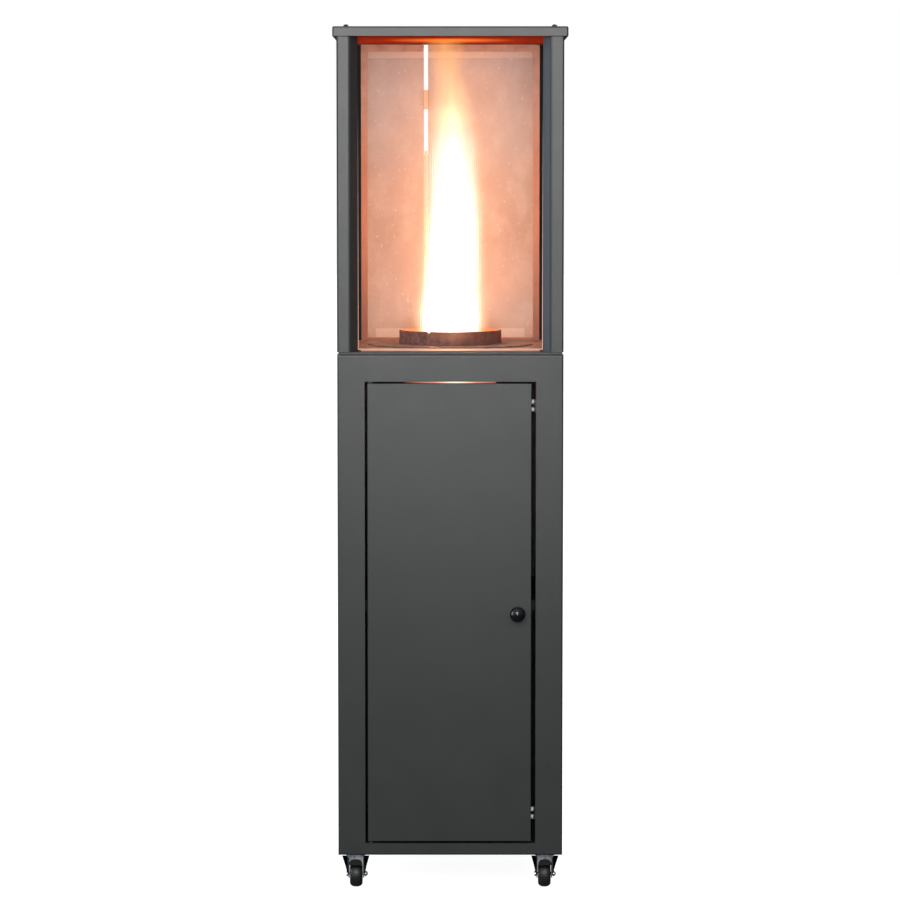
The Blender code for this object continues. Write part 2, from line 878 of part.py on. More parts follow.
def ash_tray():
    low = SHELF_Z + FIT
    tray = box("ash_tray", (-ASH_HALF, ASH_FRONT, low), (ASH_HALF, ASH_BACK, low + ASH_HEIGHT))
    wall = SHEET
    cut(tray, box(
        "ash_tray_inside",
        (-ASH_HALF + wall, ASH_FRONT + wall, low + wall),
        (ASH_HALF - wall, ASH_BACK - wall, low + 2 * ASH_HEIGHT),
    ))
    grip_half = 0.045
    grip_depth = 0.014
    grip_y = ASH_FRONT - grip_depth
    grip_z = low + ASH_HEIGHT - grip_depth
    join(tray, box(
        "ash_tray_grip",
        (-grip_half, grip_y, grip_z),
        (grip_half, ASH_FRONT + wall / 2, grip_z + 2 * wall),
    ))
    return finish(tray, raw_steel())


# ---------------------------------------------------------------- castors


def castor_plate(name, x, y):
    high = TRAY_Z - FIT
    low = high - CASTOR_PLATE_THICK
    half = CASTOR_PLATE_HALF
    corner = 0.006
    bolt_inset = 0.008
    bolt_hole = 0.003
    made = box(name, (x - half, y - half, low), (x + half, y + half, high))
    round_edges(made, corner, lambda middle: abs(middle.z - (low + high) / 2) < FIT / 2, 2)
    bolt = half - bolt_inset
    ends = []
    for side in (-1, 1):
        for end in (-1, 1):
            spot = (x + side * bolt, y + end * bolt)
            ends.append(((*spot, low - SHEET), (*spot, high + SHEET)))
    cut(made, rods(name + "_holes", ends, bolt_hole, SMALL // 2))
    return finish(made, zinc())


def castor_fork(name, x, y, axis):
    """A swivel head with two legs that trail to the axle, each with a flange turned outwards."""
    crown_low = FORK_TOP - CROWN_THICK
    raceway_top = TRAY_Z - FIT - CASTOR_PLATE_THICK - FIT
    nose = y - FORK_NOSE
    tail = y + FORK_TAIL
    fork = box(name, (x - FORK_HALF, nose, crown_low), (x + FORK_HALF, tail, FORK_TOP))
    head = [((x, y, crown_low + 2 * FIT), (x, y, raceway_top))]
    join(fork, rods(name + "_raceway", head, RACEWAY_RADIUS, ROUND))
    axle_y = y + CASTOR_TRAIL
    eye = 0.009
    foot_half = 0.006
    foot = WHEEL_RADIUS - 0.007
    top = FORK_TOP - FIT
    leg_side = [
        (nose, top),
        (tail, top),
        (axle_y + eye, WHEEL_RADIUS),
        (axle_y + foot_half, foot),
        (axle_y - foot_half, foot),
        (axle_y - eye, WHEEL_RADIUS),
    ]
    waist = 0.0205
    waist_z = 0.045
    inner_edge = FORK_HALF - FORK_SHEET
    for label, side in (("left", -1), ("right", 1)):
        outer = side * (FORK_HALF - FIT / 2)
        leg = standing_plate(name + "_leg_" + label, leg_side, x + outer - side * FORK_SHEET, x + outer)
        flange_face = [
            (side * inner_edge, top),
            (side * FLANGE_HALF, top),
            (side * waist, waist_z),
            (side * (FORK_HALF + 0.001), WHEEL_RADIUS),
            (side * inner_edge, WHEEL_RADIUS),
        ]
        flange = leaning_flange(name + "_flange_" + label, flange_face, x, nose, axle_y - eye)
        join(fork, leg, flange)
    axle_way = [((x - 2 * FORK_HALF, axle_y, WHEEL_RADIUS), (x + 2 * FORK_HALF, axle_y, WHEEL_RADIUS))]
    cut(fork, rods(name + "_axle_hole", axle_way, AXLE_RADIUS + RUNNING))
    return finish(hang(fork, axis), zinc())


def standing_plate(name, outline, x_from, x_to):
    """An outline in Y and Z, with its thickness along X."""
    x_low, x_high = sorted((x_from, x_to))
    bm = bmesh.new()
    face = bm.faces.new([bm.verts.new((x_low, y, z)) for y, z in outline])
    grown = bmesh.ops.extrude_face_region(bm, geom=[face])["geom"]
    moved = [item for item in grown if isinstance(item, bmesh.types.BMVert)]
    bmesh.ops.translate(bm, vec=(x_high - x_low, 0, 0), verts=moved)
    return mesh_object(name, bm)


def leaning_flange(name, outline, x, nose, foot_y):
    """An outline in X and Z whose Y follows the leading edge of the fork's leg."""
    lean = (foot_y - nose) / (FORK_TOP - FIT - WHEEL_RADIUS)
    bm = bmesh.new()
    corners = []
    for across, z in outline:
        y = nose + FIT + (FORK_TOP - FIT - z) * lean
        corners.append(bm.verts.new((x + across, y, z)))
    face = bm.faces.new(corners)
    grown = bmesh.ops.extrude_face_region(bm, geom=[face])["geom"]
    moved = [item for item in grown if isinstance(item, bmesh.types.BMVert)]
    bmesh.ops.translate(bm, vec=(0, FORK_SHEET, 0), verts=moved)
    return mesh_object(name, bm)


def castor_axle(name, x, y, axis):
    """A bolt with a flat head on one side and a domed nut on the other."""
    face = FORK_HALF + FIT
    head = 0.0052
    head_thick = 0.003
    dome = 0.0035
    profile = [
        (0.0, face + head_thick + dome),
        (head * 0.6, face + head_thick + dome * 0.7),
        (head, face + head_thick),
        (head, face),
        (AXLE_RADIUS, face),
        (AXLE_RADIUS, -face),
        (head, -face),
        (head, -face - head_thick),
        (0.0, -face - head_thick),
    ]
    bolt = turned(name, profile, (x, y + CASTOR_TRAIL, WHEEL_RADIUS), "X", SMALL)
    return finish(hang(bolt, axis), zinc())


def wheel_hub(name, x, y, axis):
    """A disc with a boss round the axle, a thinner web and a rim under the tyre."""
    rim = HUB_RADIUS
    rim_wall = 0.0015
    rim_half = WHEEL_HALF - 0.0015
    web = 0.0045
    fillet = 0.001
    bore = AXLE_RADIUS + RUNNING
    boss = 0.0065
    side = [
        (bore, WHEEL_HALF),
        (boss, WHEEL_HALF),
        (boss + fillet, web),
        (rim - rim_wall - fillet, web),
        (rim - rim_wall, rim_half),
        (rim, rim_half),
    ]
    profile = side + [(radius, -across) for radius, across in reversed(side)]
    hub = turned(name, profile, (x, y + CASTOR_TRAIL, WHEEL_RADIUS), "X")
    return finish(hang(hub, axis), black_plastic())


def wheel_tyre(name, x, y, axis):
    """A tyre with a rounded tread: each step is a part of the half width and a drop in radius."""
    inner = HUB_RADIUS + RUNNING
    side = WHEEL_HALF - FIT
    tread = [(0.30, 0.0), (0.62, 0.0011), (0.86, 0.0032), (1.0, 0.0056)]
    right = [(WHEEL_RADIUS - drop, WHEEL_HALF * part) for part, drop in reversed(tread)]
    left = [(WHEEL_RADIUS - drop, -WHEEL_HALF * part) for part, drop in tread]
    profile = [(inner, side)] + right + left + [(inner, -side)]
    tyre = turned(name, profile, (x, y + CASTOR_TRAIL, WHEEL_RADIUS), "X")
    return finish(hang(tyre, axis), tyre_rubber())


def castor(place, x, y, tower):
    castor_plate("castor_plate_" + place, x, y)
    swivel = axis_empty("swivel_axis_" + place, (x, y, FORK_TOP), tower)
    castor_fork("castor_fork_" + place, x, y, swivel)
    castor_axle("castor_axle_" + place, x, y, swivel)
    rolling = axis_empty("rolling_axis_" + place, (0, CASTOR_TRAIL, WHEEL_RADIUS - FORK_TOP), swivel)
    wheel_hub("wheel_hub_" + place, x, y, rolling)
    wheel_tyre("wheel_tyre_" + place, x, y, rolling)


# ---------------------------------------------------------------- assembly


def cabinet():
    front_frame()
    side_panel("side_panel_left", -1)
    side_panel("side_panel_right", 1)
    rear_panel()
    bottom_panel()
    chamber_floor()
    ash_shelf()
    ash_tray()


def door(tower):
    hinge = axis_empty("door_axis", (HINGE_X, HINGE_Y, OPENING_LOW), tower)
    for piece in (door_panel(), door_knob()):
        hang(piece, hinge)
    for place, z in CATCH_HEIGHTS.items():
        hang(strike("strike_" + place, z), hinge)
        roller_catch("roller_catch_" + place, z)
    pivot_pin("pivot_pin_upper", OPENING_HIGH, True)
    pivot_pin("pivot_pin_lower", OPENING_LOW, False)


def chamber():
    for quarter, place in enumerate(("front_left", "front_right", "rear_right", "rear_left")):
        corner_post("post_" + place, quarter)
    top_cap()
    ceiling_plate()
    for place, x, y in corners(CAP_SCREW):
        cap_screw("cap_screw_" + place, x, y)
    half = GLASS_HALF
    face = GLASS_FACE
    pane("front_glass", (-half, -face), (half, -face + GLASS))
    pane("left_glass", (-face, -half), (-face + GLASS, half))
    pane("right_glass", (face - GLASS, -half), (face, half))
    rear = REAR_GLASS_FACE
    pane("rear_glass_left", (-half, rear - GLASS), (SLIT_LEFT, rear))
    pane("rear_glass_right", (SLIT_RIGHT, rear - GLASS), (half, rear))
    glass_frame("rear_glass_frame_left", -1, SLIT_LEFT)
    glass_frame("rear_glass_frame_right", 1, SLIT_RIGHT)
    rear_glass_clip()


def burner(tower):
    burner_ring()
    firepot_flange()
    firepot()
    grate()
    shutter_bolt()
    air_shutter(axis_empty("shutter_axis", (0, 0, POT_BOTTOM), tower))


def corners(reach):
    for end, y in (("front", -reach), ("rear", reach)):
        for side, x in (("left", -reach), ("right", reach)):
            yield end + "_" + side, x, y


def clear_scene():
    for obj in list(bpy.data.objects):
        bpy.data.objects.remove(obj)


def shade():
    """Smooth the round pieces and keep their hard edges crisp."""
    for obj in bpy.data.collections["outdoor_heater"].objects:
        if obj.type == "MESH":
            for face in obj.data.polygons:
                face.use_smooth = True
            obj.data.set_sharp_from_angle(angle=math.radians(35))


def build():
    clear_scene()
    tower = axis_empty("tower", (0, CENTRE_Y, 0))
    cabinet()
    door(tower)
    chamber()
    burner(tower)
    for place, x, y in corners(CASTOR_REACH):
        castor(place, x, y, tower)
    shade()


build()
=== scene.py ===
"""Looks of the outdoor heater: finishes, flame, small fixings, studio and camera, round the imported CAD."""

import math
import random

import bmesh
import bpy
from mathutils import Matrix, Vector, noise as field


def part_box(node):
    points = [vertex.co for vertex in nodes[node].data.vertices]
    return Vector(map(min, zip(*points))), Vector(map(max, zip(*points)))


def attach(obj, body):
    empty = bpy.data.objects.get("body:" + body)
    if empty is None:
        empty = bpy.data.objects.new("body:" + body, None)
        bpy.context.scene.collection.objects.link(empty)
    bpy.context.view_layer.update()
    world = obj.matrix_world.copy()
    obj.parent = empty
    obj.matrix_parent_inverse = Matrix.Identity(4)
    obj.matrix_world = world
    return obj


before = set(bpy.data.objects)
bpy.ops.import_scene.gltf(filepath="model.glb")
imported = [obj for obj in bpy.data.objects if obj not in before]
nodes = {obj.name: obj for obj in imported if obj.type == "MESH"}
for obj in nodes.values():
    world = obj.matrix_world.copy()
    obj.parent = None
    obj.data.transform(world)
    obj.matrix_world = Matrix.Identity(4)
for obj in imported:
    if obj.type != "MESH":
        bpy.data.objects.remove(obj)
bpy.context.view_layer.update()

PLACES = ("front_left", "front_right", "rear_left", "rear_right")

# Where the tower stands, read from the CAD
cap_low, cap_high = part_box("top_cap")
CENTRE = Vector(((cap_low.x + cap_high.x) / 2, (cap_low.y + cap_high.y) / 2, 0.0))
FRONT_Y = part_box("front_frame")[0].y
FLOOR_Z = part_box("chamber_floor")[1].z
CEILING_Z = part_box("ceiling_plate")[0].z
RIM_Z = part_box("burner_ring")[1].z
POT_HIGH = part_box("firepot")[1]
CASTOR_X = sum(corner.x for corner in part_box("castor_plate_front_right")) / 2

# Where the finishes change, in metres
CHAMBER_HALF = 0.18  # the firelight's reach to either side of the middle
SCORCH_HALF = 0.199  # half the square of floor that has browned
FLOOR_EDGE = (0.1996, 0.2014)  # the edge of the floor's raised step, from the middle
FLOOR_LIP = 0.0025  # how far down that edge is lit
RING_INSIDE = 0.0985  # radius under which the ring counts as its inside
SPILL_X = 0.006  # the flame spills over the ring's front here,
SPILL_REACH = 0.06  # this far to either side
SPILL_DROP = 0.022  # and this far down
RING_SHADE = (-0.02, 0.07)  # painted shade: the ring grows darker and redder from the first X to the second
# painted firelight on the pot's front: its middle, and how far it reaches to either side
POT_FIRELIGHT_X = 0.010
POT_FIRELIGHT_REACH = 0.095
POT_FIRELIGHT_BAND = 0.20  # the band of the pot with painted firelight, down from its top
PANE_FOOT = 0.0016  # bright foot of the front pane, up from the floor
PANE_EDGE = (0.1746, 0.1765)  # bright sides of the front pane, from the middle
WIPED_TOP = (CEILING_Z - 0.028, CEILING_Z - 0.015)
WIPED_TOP_HALF = 0.165
WIPED_FOOT = (FLOOR_Z + 0.005, FLOOR_Z + 0.0235)
WIPED_FOOT_HALF = 0.150
HALO_X = 0.004  # the fire's halo on the rear panes
HALO_REACH = 0.12
CEILING_FIRELIGHT_RADIUS = 0.13  # radius of the painted firelight over the flame
FORK_CHEEK = 0.0156  # from the middle of a fork to the outside of its cheeks
CATCH_BASE_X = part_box("roller_catch_upper")[1].x - 0.0034

BLACK = (0.0, 0.0, 0.0)
SOFT_STEP = 0.0004
SHARP = math.radians(40)


# ---------------------------------------------------------------- material helpers


def parts_of(made):
    """A material's node tree and its shader."""
    return made.node_tree, made.node_tree.nodes["Principled BSDF"]


def new_material(name):
    """A new material, with its node tree and its shader."""
    made = bpy.data.materials.new(name)
    made.use_nodes = True
    return made, *parts_of(made)


def object_coords(tree):
    """A point's place on its object, which is its place in the world at rest."""
    return tree.nodes.new("ShaderNodeTexCoord").outputs["Object"]


def noise(tree, scale, detail=4.0, roughness=0.55, stretch=None):
    """Cloudy 0 to 1 noise; `stretch` scales the place that it is read at, axis by axis."""
    texture = tree.nodes.new("ShaderNodeTexNoise")
    texture.inputs["Scale"].default_value = scale
    texture.inputs["Detail"].default_value = detail
    texture.inputs["Roughness"].default_value = roughness
    place = object_coords(tree)
    if stretch:
        mapping = tree.nodes.new("ShaderNodeMapping")
        mapping.inputs["Scale"].default_value = stretch
        tree.links.new(place, mapping.inputs["Vector"])
        place = mapping.outputs["Vector"]
    tree.links.new(place, texture.inputs["Vector"])
    return texture.outputs["Fac"]


def ramp(tree, value, stops):
    """Colours, or greys given as one number, over a 0 to 1 value; `stops` are (place, colour) pairs."""
    node = tree.nodes.new("ShaderNodeValToRGB")
    elements = node.color_ramp.elements
    while len(elements) < len(stops):
        elements.new(0.5)
    for element, (place, colour) in zip(elements, stops):
        if not isinstance(colour, tuple):
            colour = (colour, colour, colour)
        element.position = place
        element.color = (*colour, 1.0)
    tree.links.new(value, node.inputs["Fac"])
    return node.outputs["Color"]


def math_node(tree, operation, first, second=0.0):
    """One sum on numbers or sockets."""
    node = tree.nodes.new("ShaderNodeMath")
    node.operation = operation
    for slot, value in zip(node.inputs, (first, second)):
        if isinstance(value, (int, float)):
            slot.default_value = value
        else:
            tree.links.new(value, slot)
    return node.outputs["Value"]


def mix(tree, factor, first, second):
    """The first colour where `factor` is 0 and the second where it is 1."""
    node = tree.nodes.new("ShaderNodeMix")
    node.data_type = "RGBA"
    for slot, value in zip((node.inputs[0], node.inputs[6], node.inputs[7]), (factor, first, second)):
        if isinstance(value, tuple):
            slot.default_value = (*value, 1.0)
        else:
            tree.links.new(value, slot)
    return node.outputs[2]


def clamp(tree, value):
    """A value held between 0 and 1."""
    node = tree.nodes.new("ShaderNodeClamp")
    tree.links.new(value, node.inputs["Value"])
    return node.outputs["Result"]


def span(tree, value, low, high):
    """How far a value lies from `low` to `high`, as 0 to 1."""
    node = tree.nodes.new("ShaderNodeMapRange")
    node.inputs["From Min"].default_value = low
    node.inputs["From Max"].default_value = high
    tree.links.new(value, node.inputs["Value"])
    return node.outputs["Result"]


def along(tree, axis):
    """A point's own place along one axis, in metres."""
    parts = tree.nodes.new("ShaderNodeSeparateXYZ")
    tree.links.new(object_coords(tree), parts.inputs["Vector"])
    return parts.outputs[axis]


def spread(tree, axis, low, high):
    """How far a point lies from `low` to `high` along one axis, as 0 to 1."""
    return span(tree, along(tree, axis), low, high)


def chamber_height(tree):
    """0 at the floor of the flame chamber and 1 at its ceiling."""
    return spread(tree, "Z", FLOOR_Z, CEILING_Z)


def apart(tree, value, middle):
    """How far a value is from `middle`, either way."""
    return math_node(tree, "ABSOLUTE", math_node(tree, "SUBTRACT", value, middle))


def off_line(tree, axis, middle):
    """Distance from a plane across one axis, in metres."""
    return apart(tree, along(tree, axis), middle)


def radial(tree):
    """Distance from the tower's centre line, in metres."""
    mapping = tree.nodes.new("ShaderNodeMapping")
    mapping.inputs["Location"].default_value = (-CENTRE.x, -CENTRE.y, 0.0)
    mapping.inputs["Scale"].default_value = (1.0, 1.0, 0.0)
    tree.links.new(object_coords(tree), mapping.inputs["Vector"])
    length = tree.nodes.new("ShaderNodeVectorMath")
    length.operation = "LENGTH"
    tree.links.new(mapping.outputs["Vector"], length.inputs[0])
    return length.outputs["Value"]


def above(tree, value, low):
    """1 where a value is over `low` and 0 under it, with a short soft step."""
    return clamp(tree, math_node(tree, "DIVIDE", math_node(tree, "SUBTRACT", value, low), SOFT_STEP))


def below(tree, value, high):
    """1 where a value is under `high` and 0 over it, with a short soft step."""
    return clamp(tree, math_node(tree, "DIVIDE", math_node(tree, "SUBTRACT", high, value), SOFT_STEP))


def between(tree, value, low, high):
    """1 where a value lies between two limits and 0 elsewhere, with short soft steps."""
    return math_node(tree, "MINIMUM", above(tree, value, low), below(tree, value, high))


def drive(tree, shader, socket, value, stops):
    """Feed one of a shader's sockets with a ramp over a value."""
    tree.links.new(ramp(tree, value, stops), shader.inputs[socket])


def add_glow(tree, shader, colour, strength, share=None):
    """Make a surface give off a colour, all over or only where `share` is 1."""
    if share is not None:
        colour = mix(tree, share, BLACK, colour)
    tree.links.new(colour, shader.inputs["Emission Color"])
    shader.inputs["Emission Strength"].default_value = strength


def tint_where(tree, shader, share, colour):
    """Lay a colour over a shader's own where `share` is 1."""
    own = shader.inputs["Base Color"].links[0].from_socket
    tree.links.new(mix(tree, share, own, colour), shader.inputs["Base Color"])


def bump(tree, shader, height, strength, distance):
    """Roughen a surface's shading by a height."""
    node = tree.nodes.new("ShaderNodeBump")
    node.inputs["Strength"].default_value = strength
    node.inputs["Distance"].default_value = distance
    tree.links.new(height, node.inputs["Height"])
    tree.links.new(node.outputs["Normal"], shader.inputs["Normal"])


# ---------------------------------------------------------------- finishes


def powder_coat():
    """Fine satin powder: a very faint mottle and an orange-peel grain."""
    made, tree, shader = new_material("anthracite_powder")
    mottle = [(0.3, (0.0285, 0.0300, 0.0300)), (0.75, (0.0335, 0.0350, 0.0350))]
    drive(tree, shader, "Base Color", noise(tree, 7.0), mottle)
    drive(tree, shader, "Roughness", noise(tree, 24.0, 5.0), [(0.3, 0.32), (0.8, 0.36)])
    bump(tree, shader, noise(tree, 1400.0, 2.0), 0.18, 0.0003)
    return made


def firelight_across(tree, middle, side):
    """Firelight on an edge at the front: one colour in the middle, fading to another at the sides."""
    reach = math_node(tree, "DIVIDE", off_line(tree, "X", CENTRE.x), CHAMBER_HALF)
    return ramp(tree, reach, [(0.0, middle), (0.35, (0.66, 0.30, 0.18)), (1.0, side)])


def scorched_floor():
    """Powder coat that has browned round the burner, on a step whose edge catches the firelight."""
    made, tree, shader = new_material("scorched_powder")
    burnt_stops = [(0.3, (0.115, 0.058, 0.042)), (0.75, (0.235, 0.145, 0.115))]
    burnt = ramp(tree, noise(tree, 40.0, 6.0), burnt_stops)
    coat = ramp(tree, noise(tree, 12.0), [(0.3, (0.030, 0.031, 0.031)), (0.8, (0.036, 0.037, 0.037))])
    out = math_node(tree, "MAXIMUM", off_line(tree, "X", CENTRE.x), off_line(tree, "Y", CENTRE.y))
    tree.links.new(mix(tree, below(tree, out, SCORCH_HALF), coat, burnt), shader.inputs["Base Color"])
    drive(tree, shader, "Roughness", noise(tree, 60.0), [(0.3, 0.34), (0.7, 0.5)])
    lip = above(tree, along(tree, "Z"), FLOOR_Z - FLOOR_LIP)
    rim = math_node(tree, "MULTIPLY", between(tree, out, *FLOOR_EDGE), lip)
    light = firelight_across(tree, (1.0, 0.50, 0.27), (0.42, 0.17, 0.11))
    add_glow(tree, shader, light, 1.0, rim)
    bump(tree, shader, noise(tree, 900.0, 3.0), 0.2, 0.0003)
    return made


def rusted_steel(name, dark, light, scale=55.0):
    """Steel that heat or rust has left matt, in patches from dark to light."""
    made, tree, shader = new_material(name)
    patches = noise(tree, scale, 8.0, 0.65)
    drive(tree, shader, "Base Color", patches, [(0.32, dark), (0.7, light)])
    drive(tree, shader, "Roughness", patches, [(0.3, 0.55), (0.7, 0.85)])
    shader.inputs["Metallic"].default_value = 0.25
    bump(tree, shader, noise(tree, scale * 8, 6.0), 0.45, 0.0006)
    return made


def rust_and_painted_light_ring():
    """Mottled brown ring, with painted orange firelight inside and where the flame spills over its front,
    and painted shade toward +X.
    """
    made = rusted_steel("rust_and_painted_light_ring", (0.085, 0.036, 0.030), (0.27, 0.125, 0.108), 75.0)
    tree, shader = parts_of(made)
    shader.inputs["Metallic"].default_value = 0.0
    shader.inputs["Specular IOR Level"].default_value = 0.2
    reach = math_node(tree, "DIVIDE", off_line(tree, "X", SPILL_X), SPILL_REACH)
    spill = ramp(tree, reach, [(0.0, 0.70), (0.4, 0.30), (1.0, 0.03)])
    upper = ramp(tree, spread(tree, "Z", RIM_Z - SPILL_DROP, RIM_Z), [(0.0, 0.1), (1.0, 1.0)])
    inside = below(tree, radial(tree), RING_INSIDE)
    share = math_node(tree, "MAXIMUM", inside, math_node(tree, "MULTIPLY", spill, upper))
    add_glow(tree, shader, (0.85, 0.30, 0.09), 0.6, share)
    # painted shade: the ring darker and redder toward +X
    shaded = ramp(tree, spread(tree, "X", *RING_SHADE), [(0.0, 0.0), (1.0, 0.55)])
    tint_where(tree, shader, shaded, (0.13, 0.030, 0.014))
    return made


def tinted_frame():
    """Rear frame strips: heat-browned low down and purple-grey toward the ceiling."""
    made = rusted_steel("heat_tinted_frame", (0.38, 0.185, 0.13), (0.52, 0.27, 0.20), 30.0)
    tree, shader = parts_of(made)
    height = chamber_height(tree)
    tint_where(tree, shader, ramp(tree, height, [(0.05, 0.6), (0.4, 0.0)]), (0.16, 0.055, 0.035))
    haze = ramp(tree, noise(tree, 40.0, 6.0), [(0.3, (0.50, 0.38, 0.36)), (0.7, (0.68, 0.56, 0.55))])
    tint_where(tree, shader, ramp(tree, height, [(0.62, 0.0), (0.95, 0.85)]), haze)
    return made


def pot_with_painted_firelight():
    """Firepot: heat-tinted steel with a painted firelight glow on its front, brightest where it faces the
    top of the door.
    """
    made, tree, shader = new_material("heat_tinted_pot_painted_firelight")
    patches = noise(tree, 45.0, 8.0, 0.6)
    drive(tree, shader, "Base Color", patches, [(0.3, (0.10, 0.05, 0.036)), (0.72, (0.24, 0.13, 0.10))])
    drive(tree, shader, "Roughness", patches, [(0.3, 0.4), (0.7, 0.7)])
    shader.inputs["Metallic"].default_value = 0.3
    # painted firelight: a glow on the pot's front, brightest in the middle and fading to the sides
    reach = math_node(tree, "DIVIDE", off_line(tree, "X", POT_FIRELIGHT_X), POT_FIRELIGHT_REACH)
    firelight_stops = [
        (0.0, (1.0, 0.80, 0.66)),
        (0.16, (1.0, 0.62, 0.48)),
        (0.42, (0.55, 0.24, 0.17)),
        (1.0, (0.08, 0.02, 0.012)),
    ]
    height = spread(tree, "Z", POT_HIGH.z - POT_FIRELIGHT_BAND, POT_HIGH.z)
    band = ramp(tree, height, [(0.25, 0.0), (0.6, 1.0), (0.85, 0.1)])
    add_glow(tree, shader, ramp(tree, reach, firelight_stops), 1.6, band)
    bump(tree, shader, noise(tree, 350.0, 6.0), 0.4, 0.0005)
    return made


def film_of_soot(tree, shader, low, high, scale):
    """Let a pane through less where its film of soot is thicker."""
    film = noise(tree, scale, 6.0, 0.6)
    drive(tree, shader, "Alpha", film, [(0.3, low), (0.7, high)])
    drive(tree, shader, "Roughness", film, [(0.3, 0.12), (0.7, 0.25)])
    shader.inputs["IOR"].default_value = 1.5
    return film


def clear_glass():
    """Front pane: almost clear, with edges that carry the light of the fire."""
    made, tree, shader = new_material("clear_glass")
    film = film_of_soot(tree, shader, 0.002, 0.010, 5.0)
    drive(tree, shader, "Base Color", film, [(0.3, (0.75, 0.66, 0.62)), (0.7, (0.9, 0.82, 0.78))])
    shader.inputs["Specular IOR Level"].default_value = 0.03
    foot = below(tree, along(tree, "Z"), FLOOR_Z + PANE_FOOT)
    sides = between(tree, off_line(tree, "X", CENTRE.x), *PANE_EDGE)
    low_down = ramp(tree, chamber_height(tree), [(0.0, 1.0), (0.4, 0.55), (0.8, 0.0)])
    lit = clamp(tree, math_node(tree, "ADD", foot, math_node(tree, "MULTIPLY", sides, low_down)))
    light = firelight_across(tree, (1.0, 0.52, 0.28), (0.60, 0.22, 0.12))
    add_glow(tree, shader, light, 1.0, lit)
    thin = shader.inputs["Alpha"].links[0].from_socket
    solid = math_node(tree, "MAXIMUM", math_node(tree, "MULTIPLY", lit, 0.75), thin)
    tree.links.new(solid, shader.inputs["Alpha"])
    return made


def side_glass():
    """Side panes: a brown film of soot that the room shows through."""
    made, tree, shader = new_material("side_glass")
    film = film_of_soot(tree, shader, 0.30, 0.46, 6.0)
    drive(tree, shader, "Base Color", film, [(0.3, (0.46, 0.30, 0.25)), (0.7, (0.60, 0.42, 0.36))])
    shader.inputs["Specular IOR Level"].default_value = 0.3
    return made


def rear_glass():
    """Rear panes: a dusty brown film with smears, specks, and a wiped band at the top and the foot."""
    made, tree, shader = new_material("rear_glass")
    film = film_of_soot(tree, shader, 0.74, 0.82, 5.0)
    brown = ramp(tree, film, [(0.3, (0.385, 0.235, 0.150)), (0.7, (0.465, 0.300, 0.205))])
    grey_stops = [(0.3, (0.34, 0.23, 0.18)), (0.7, (0.52, 0.39, 0.33))]
    grey = ramp(tree, noise(tree, 16.0, 8.0, 0.7), grey_stops)
    high_up = ramp(tree, chamber_height(tree), [(0.55, 0.0), (1.0, 0.85)])
    tone = mix(tree, high_up, brown, grey)
    smears = ramp(tree, noise(tree, 24.0, 9.0, 0.72, (1.0, 1.0, 0.6)), [(0.46, 0.0), (0.72, 0.34)])
    tone = mix(tree, smears, tone, (0.62, 0.50, 0.40))
    specks = ramp(tree, noise(tree, 170.0, 2.0, 0.4), [(0.68, 0.0), (0.76, 0.35)])
    tone = mix(tree, specks, tone, (0.85, 0.72, 0.66))
    top_band = wiped_band(tree, WIPED_TOP, WIPED_TOP_HALF)
    foot_band = math_node(tree, "MULTIPLY", wiped_band(tree, WIPED_FOOT, WIPED_FOOT_HALF), 0.6)
    wiped = math_node(tree, "MULTIPLY", clamp(tree, math_node(tree, "ADD", top_band, foot_band)), 0.40)
    tone = mix(tree, wiped, tone, (0.92, 0.74, 0.66))
    tree.links.new(tone, shader.inputs["Base Color"])
    shader.inputs["Specular IOR Level"].default_value = 0.3
    reach = math_node(tree, "DIVIDE", off_line(tree, "X", CENTRE.x + HALO_X), HALO_REACH)
    halo = ramp(tree, reach, [(0.0, (1.0, 0.42, 0.15)), (0.4, (0.62, 0.25, 0.08)), (1.0, BLACK)])
    add_glow(tree, shader, halo, 0.16)
    return made


def wiped_band(tree, heights, half):
    """1 on a level band of the rear panes and 0 elsewhere."""
    level = between(tree, along(tree, "Z"), *heights)
    return math_node(tree, "MULTIPLY", level, below(tree, off_line(tree, "X", CENTRE.x), half))


def brushed_metal(name, colour, roughness, scale=200.0):
    """Bare metal with fine upright streaks."""
    made, tree, shader = new_material(name)
    streaks = noise(tree, scale, 4.0, 0.6, (1.0, 1.0, 0.12))
    dim = tuple(value * 0.78 for value in colour)
    drive(tree, shader, "Base Color", streaks, [(0.3, dim), (0.7, colour)])
    drive(tree, shader, "Roughness", streaks, [(0.3, roughness - 0.08), (0.7, roughness + 0.1)])
    shader.inputs["Metallic"].default_value = 1.0
    bump(tree, shader, streaks, 0.12, 0.0003)
    return made


def moulded(name, colour, roughness, grain=0.08):
    """Plastic, rubber, enamel or sealant: faint specks and a fine grain."""
    made, tree, shader = new_material(name)
    specks = noise(tree, 260.0, 4.0)
    pale = tuple(value * 1.35 + 0.002 for value in colour)
    drive(tree, shader, "Base Color", specks, [(0.35, colour), (0.8, pale)])
    drive(tree, shader, "Roughness", specks, [(0.3, max(roughness - 0.04, 0.03)), (0.7, roughness + 0.06)])
    bump(tree, shader, noise(tree, 900.0), grain, 0.0002)
    return made


def glowing(name, cool, hot, strength):
    """Burning fuel: patches that glow from cool to hot."""
    made, tree, shader = new_material(name)
    shader.inputs["Base Color"].default_value = (0.05, 0.03, 0.02, 1.0)
    shader.inputs["Roughness"].default_value = 0.9
    patches = noise(tree, 120.0, 5.0)
    add_glow(tree, shader, ramp(tree, patches, [(0.35, cool), (0.65, hot)]), strength)
    return made


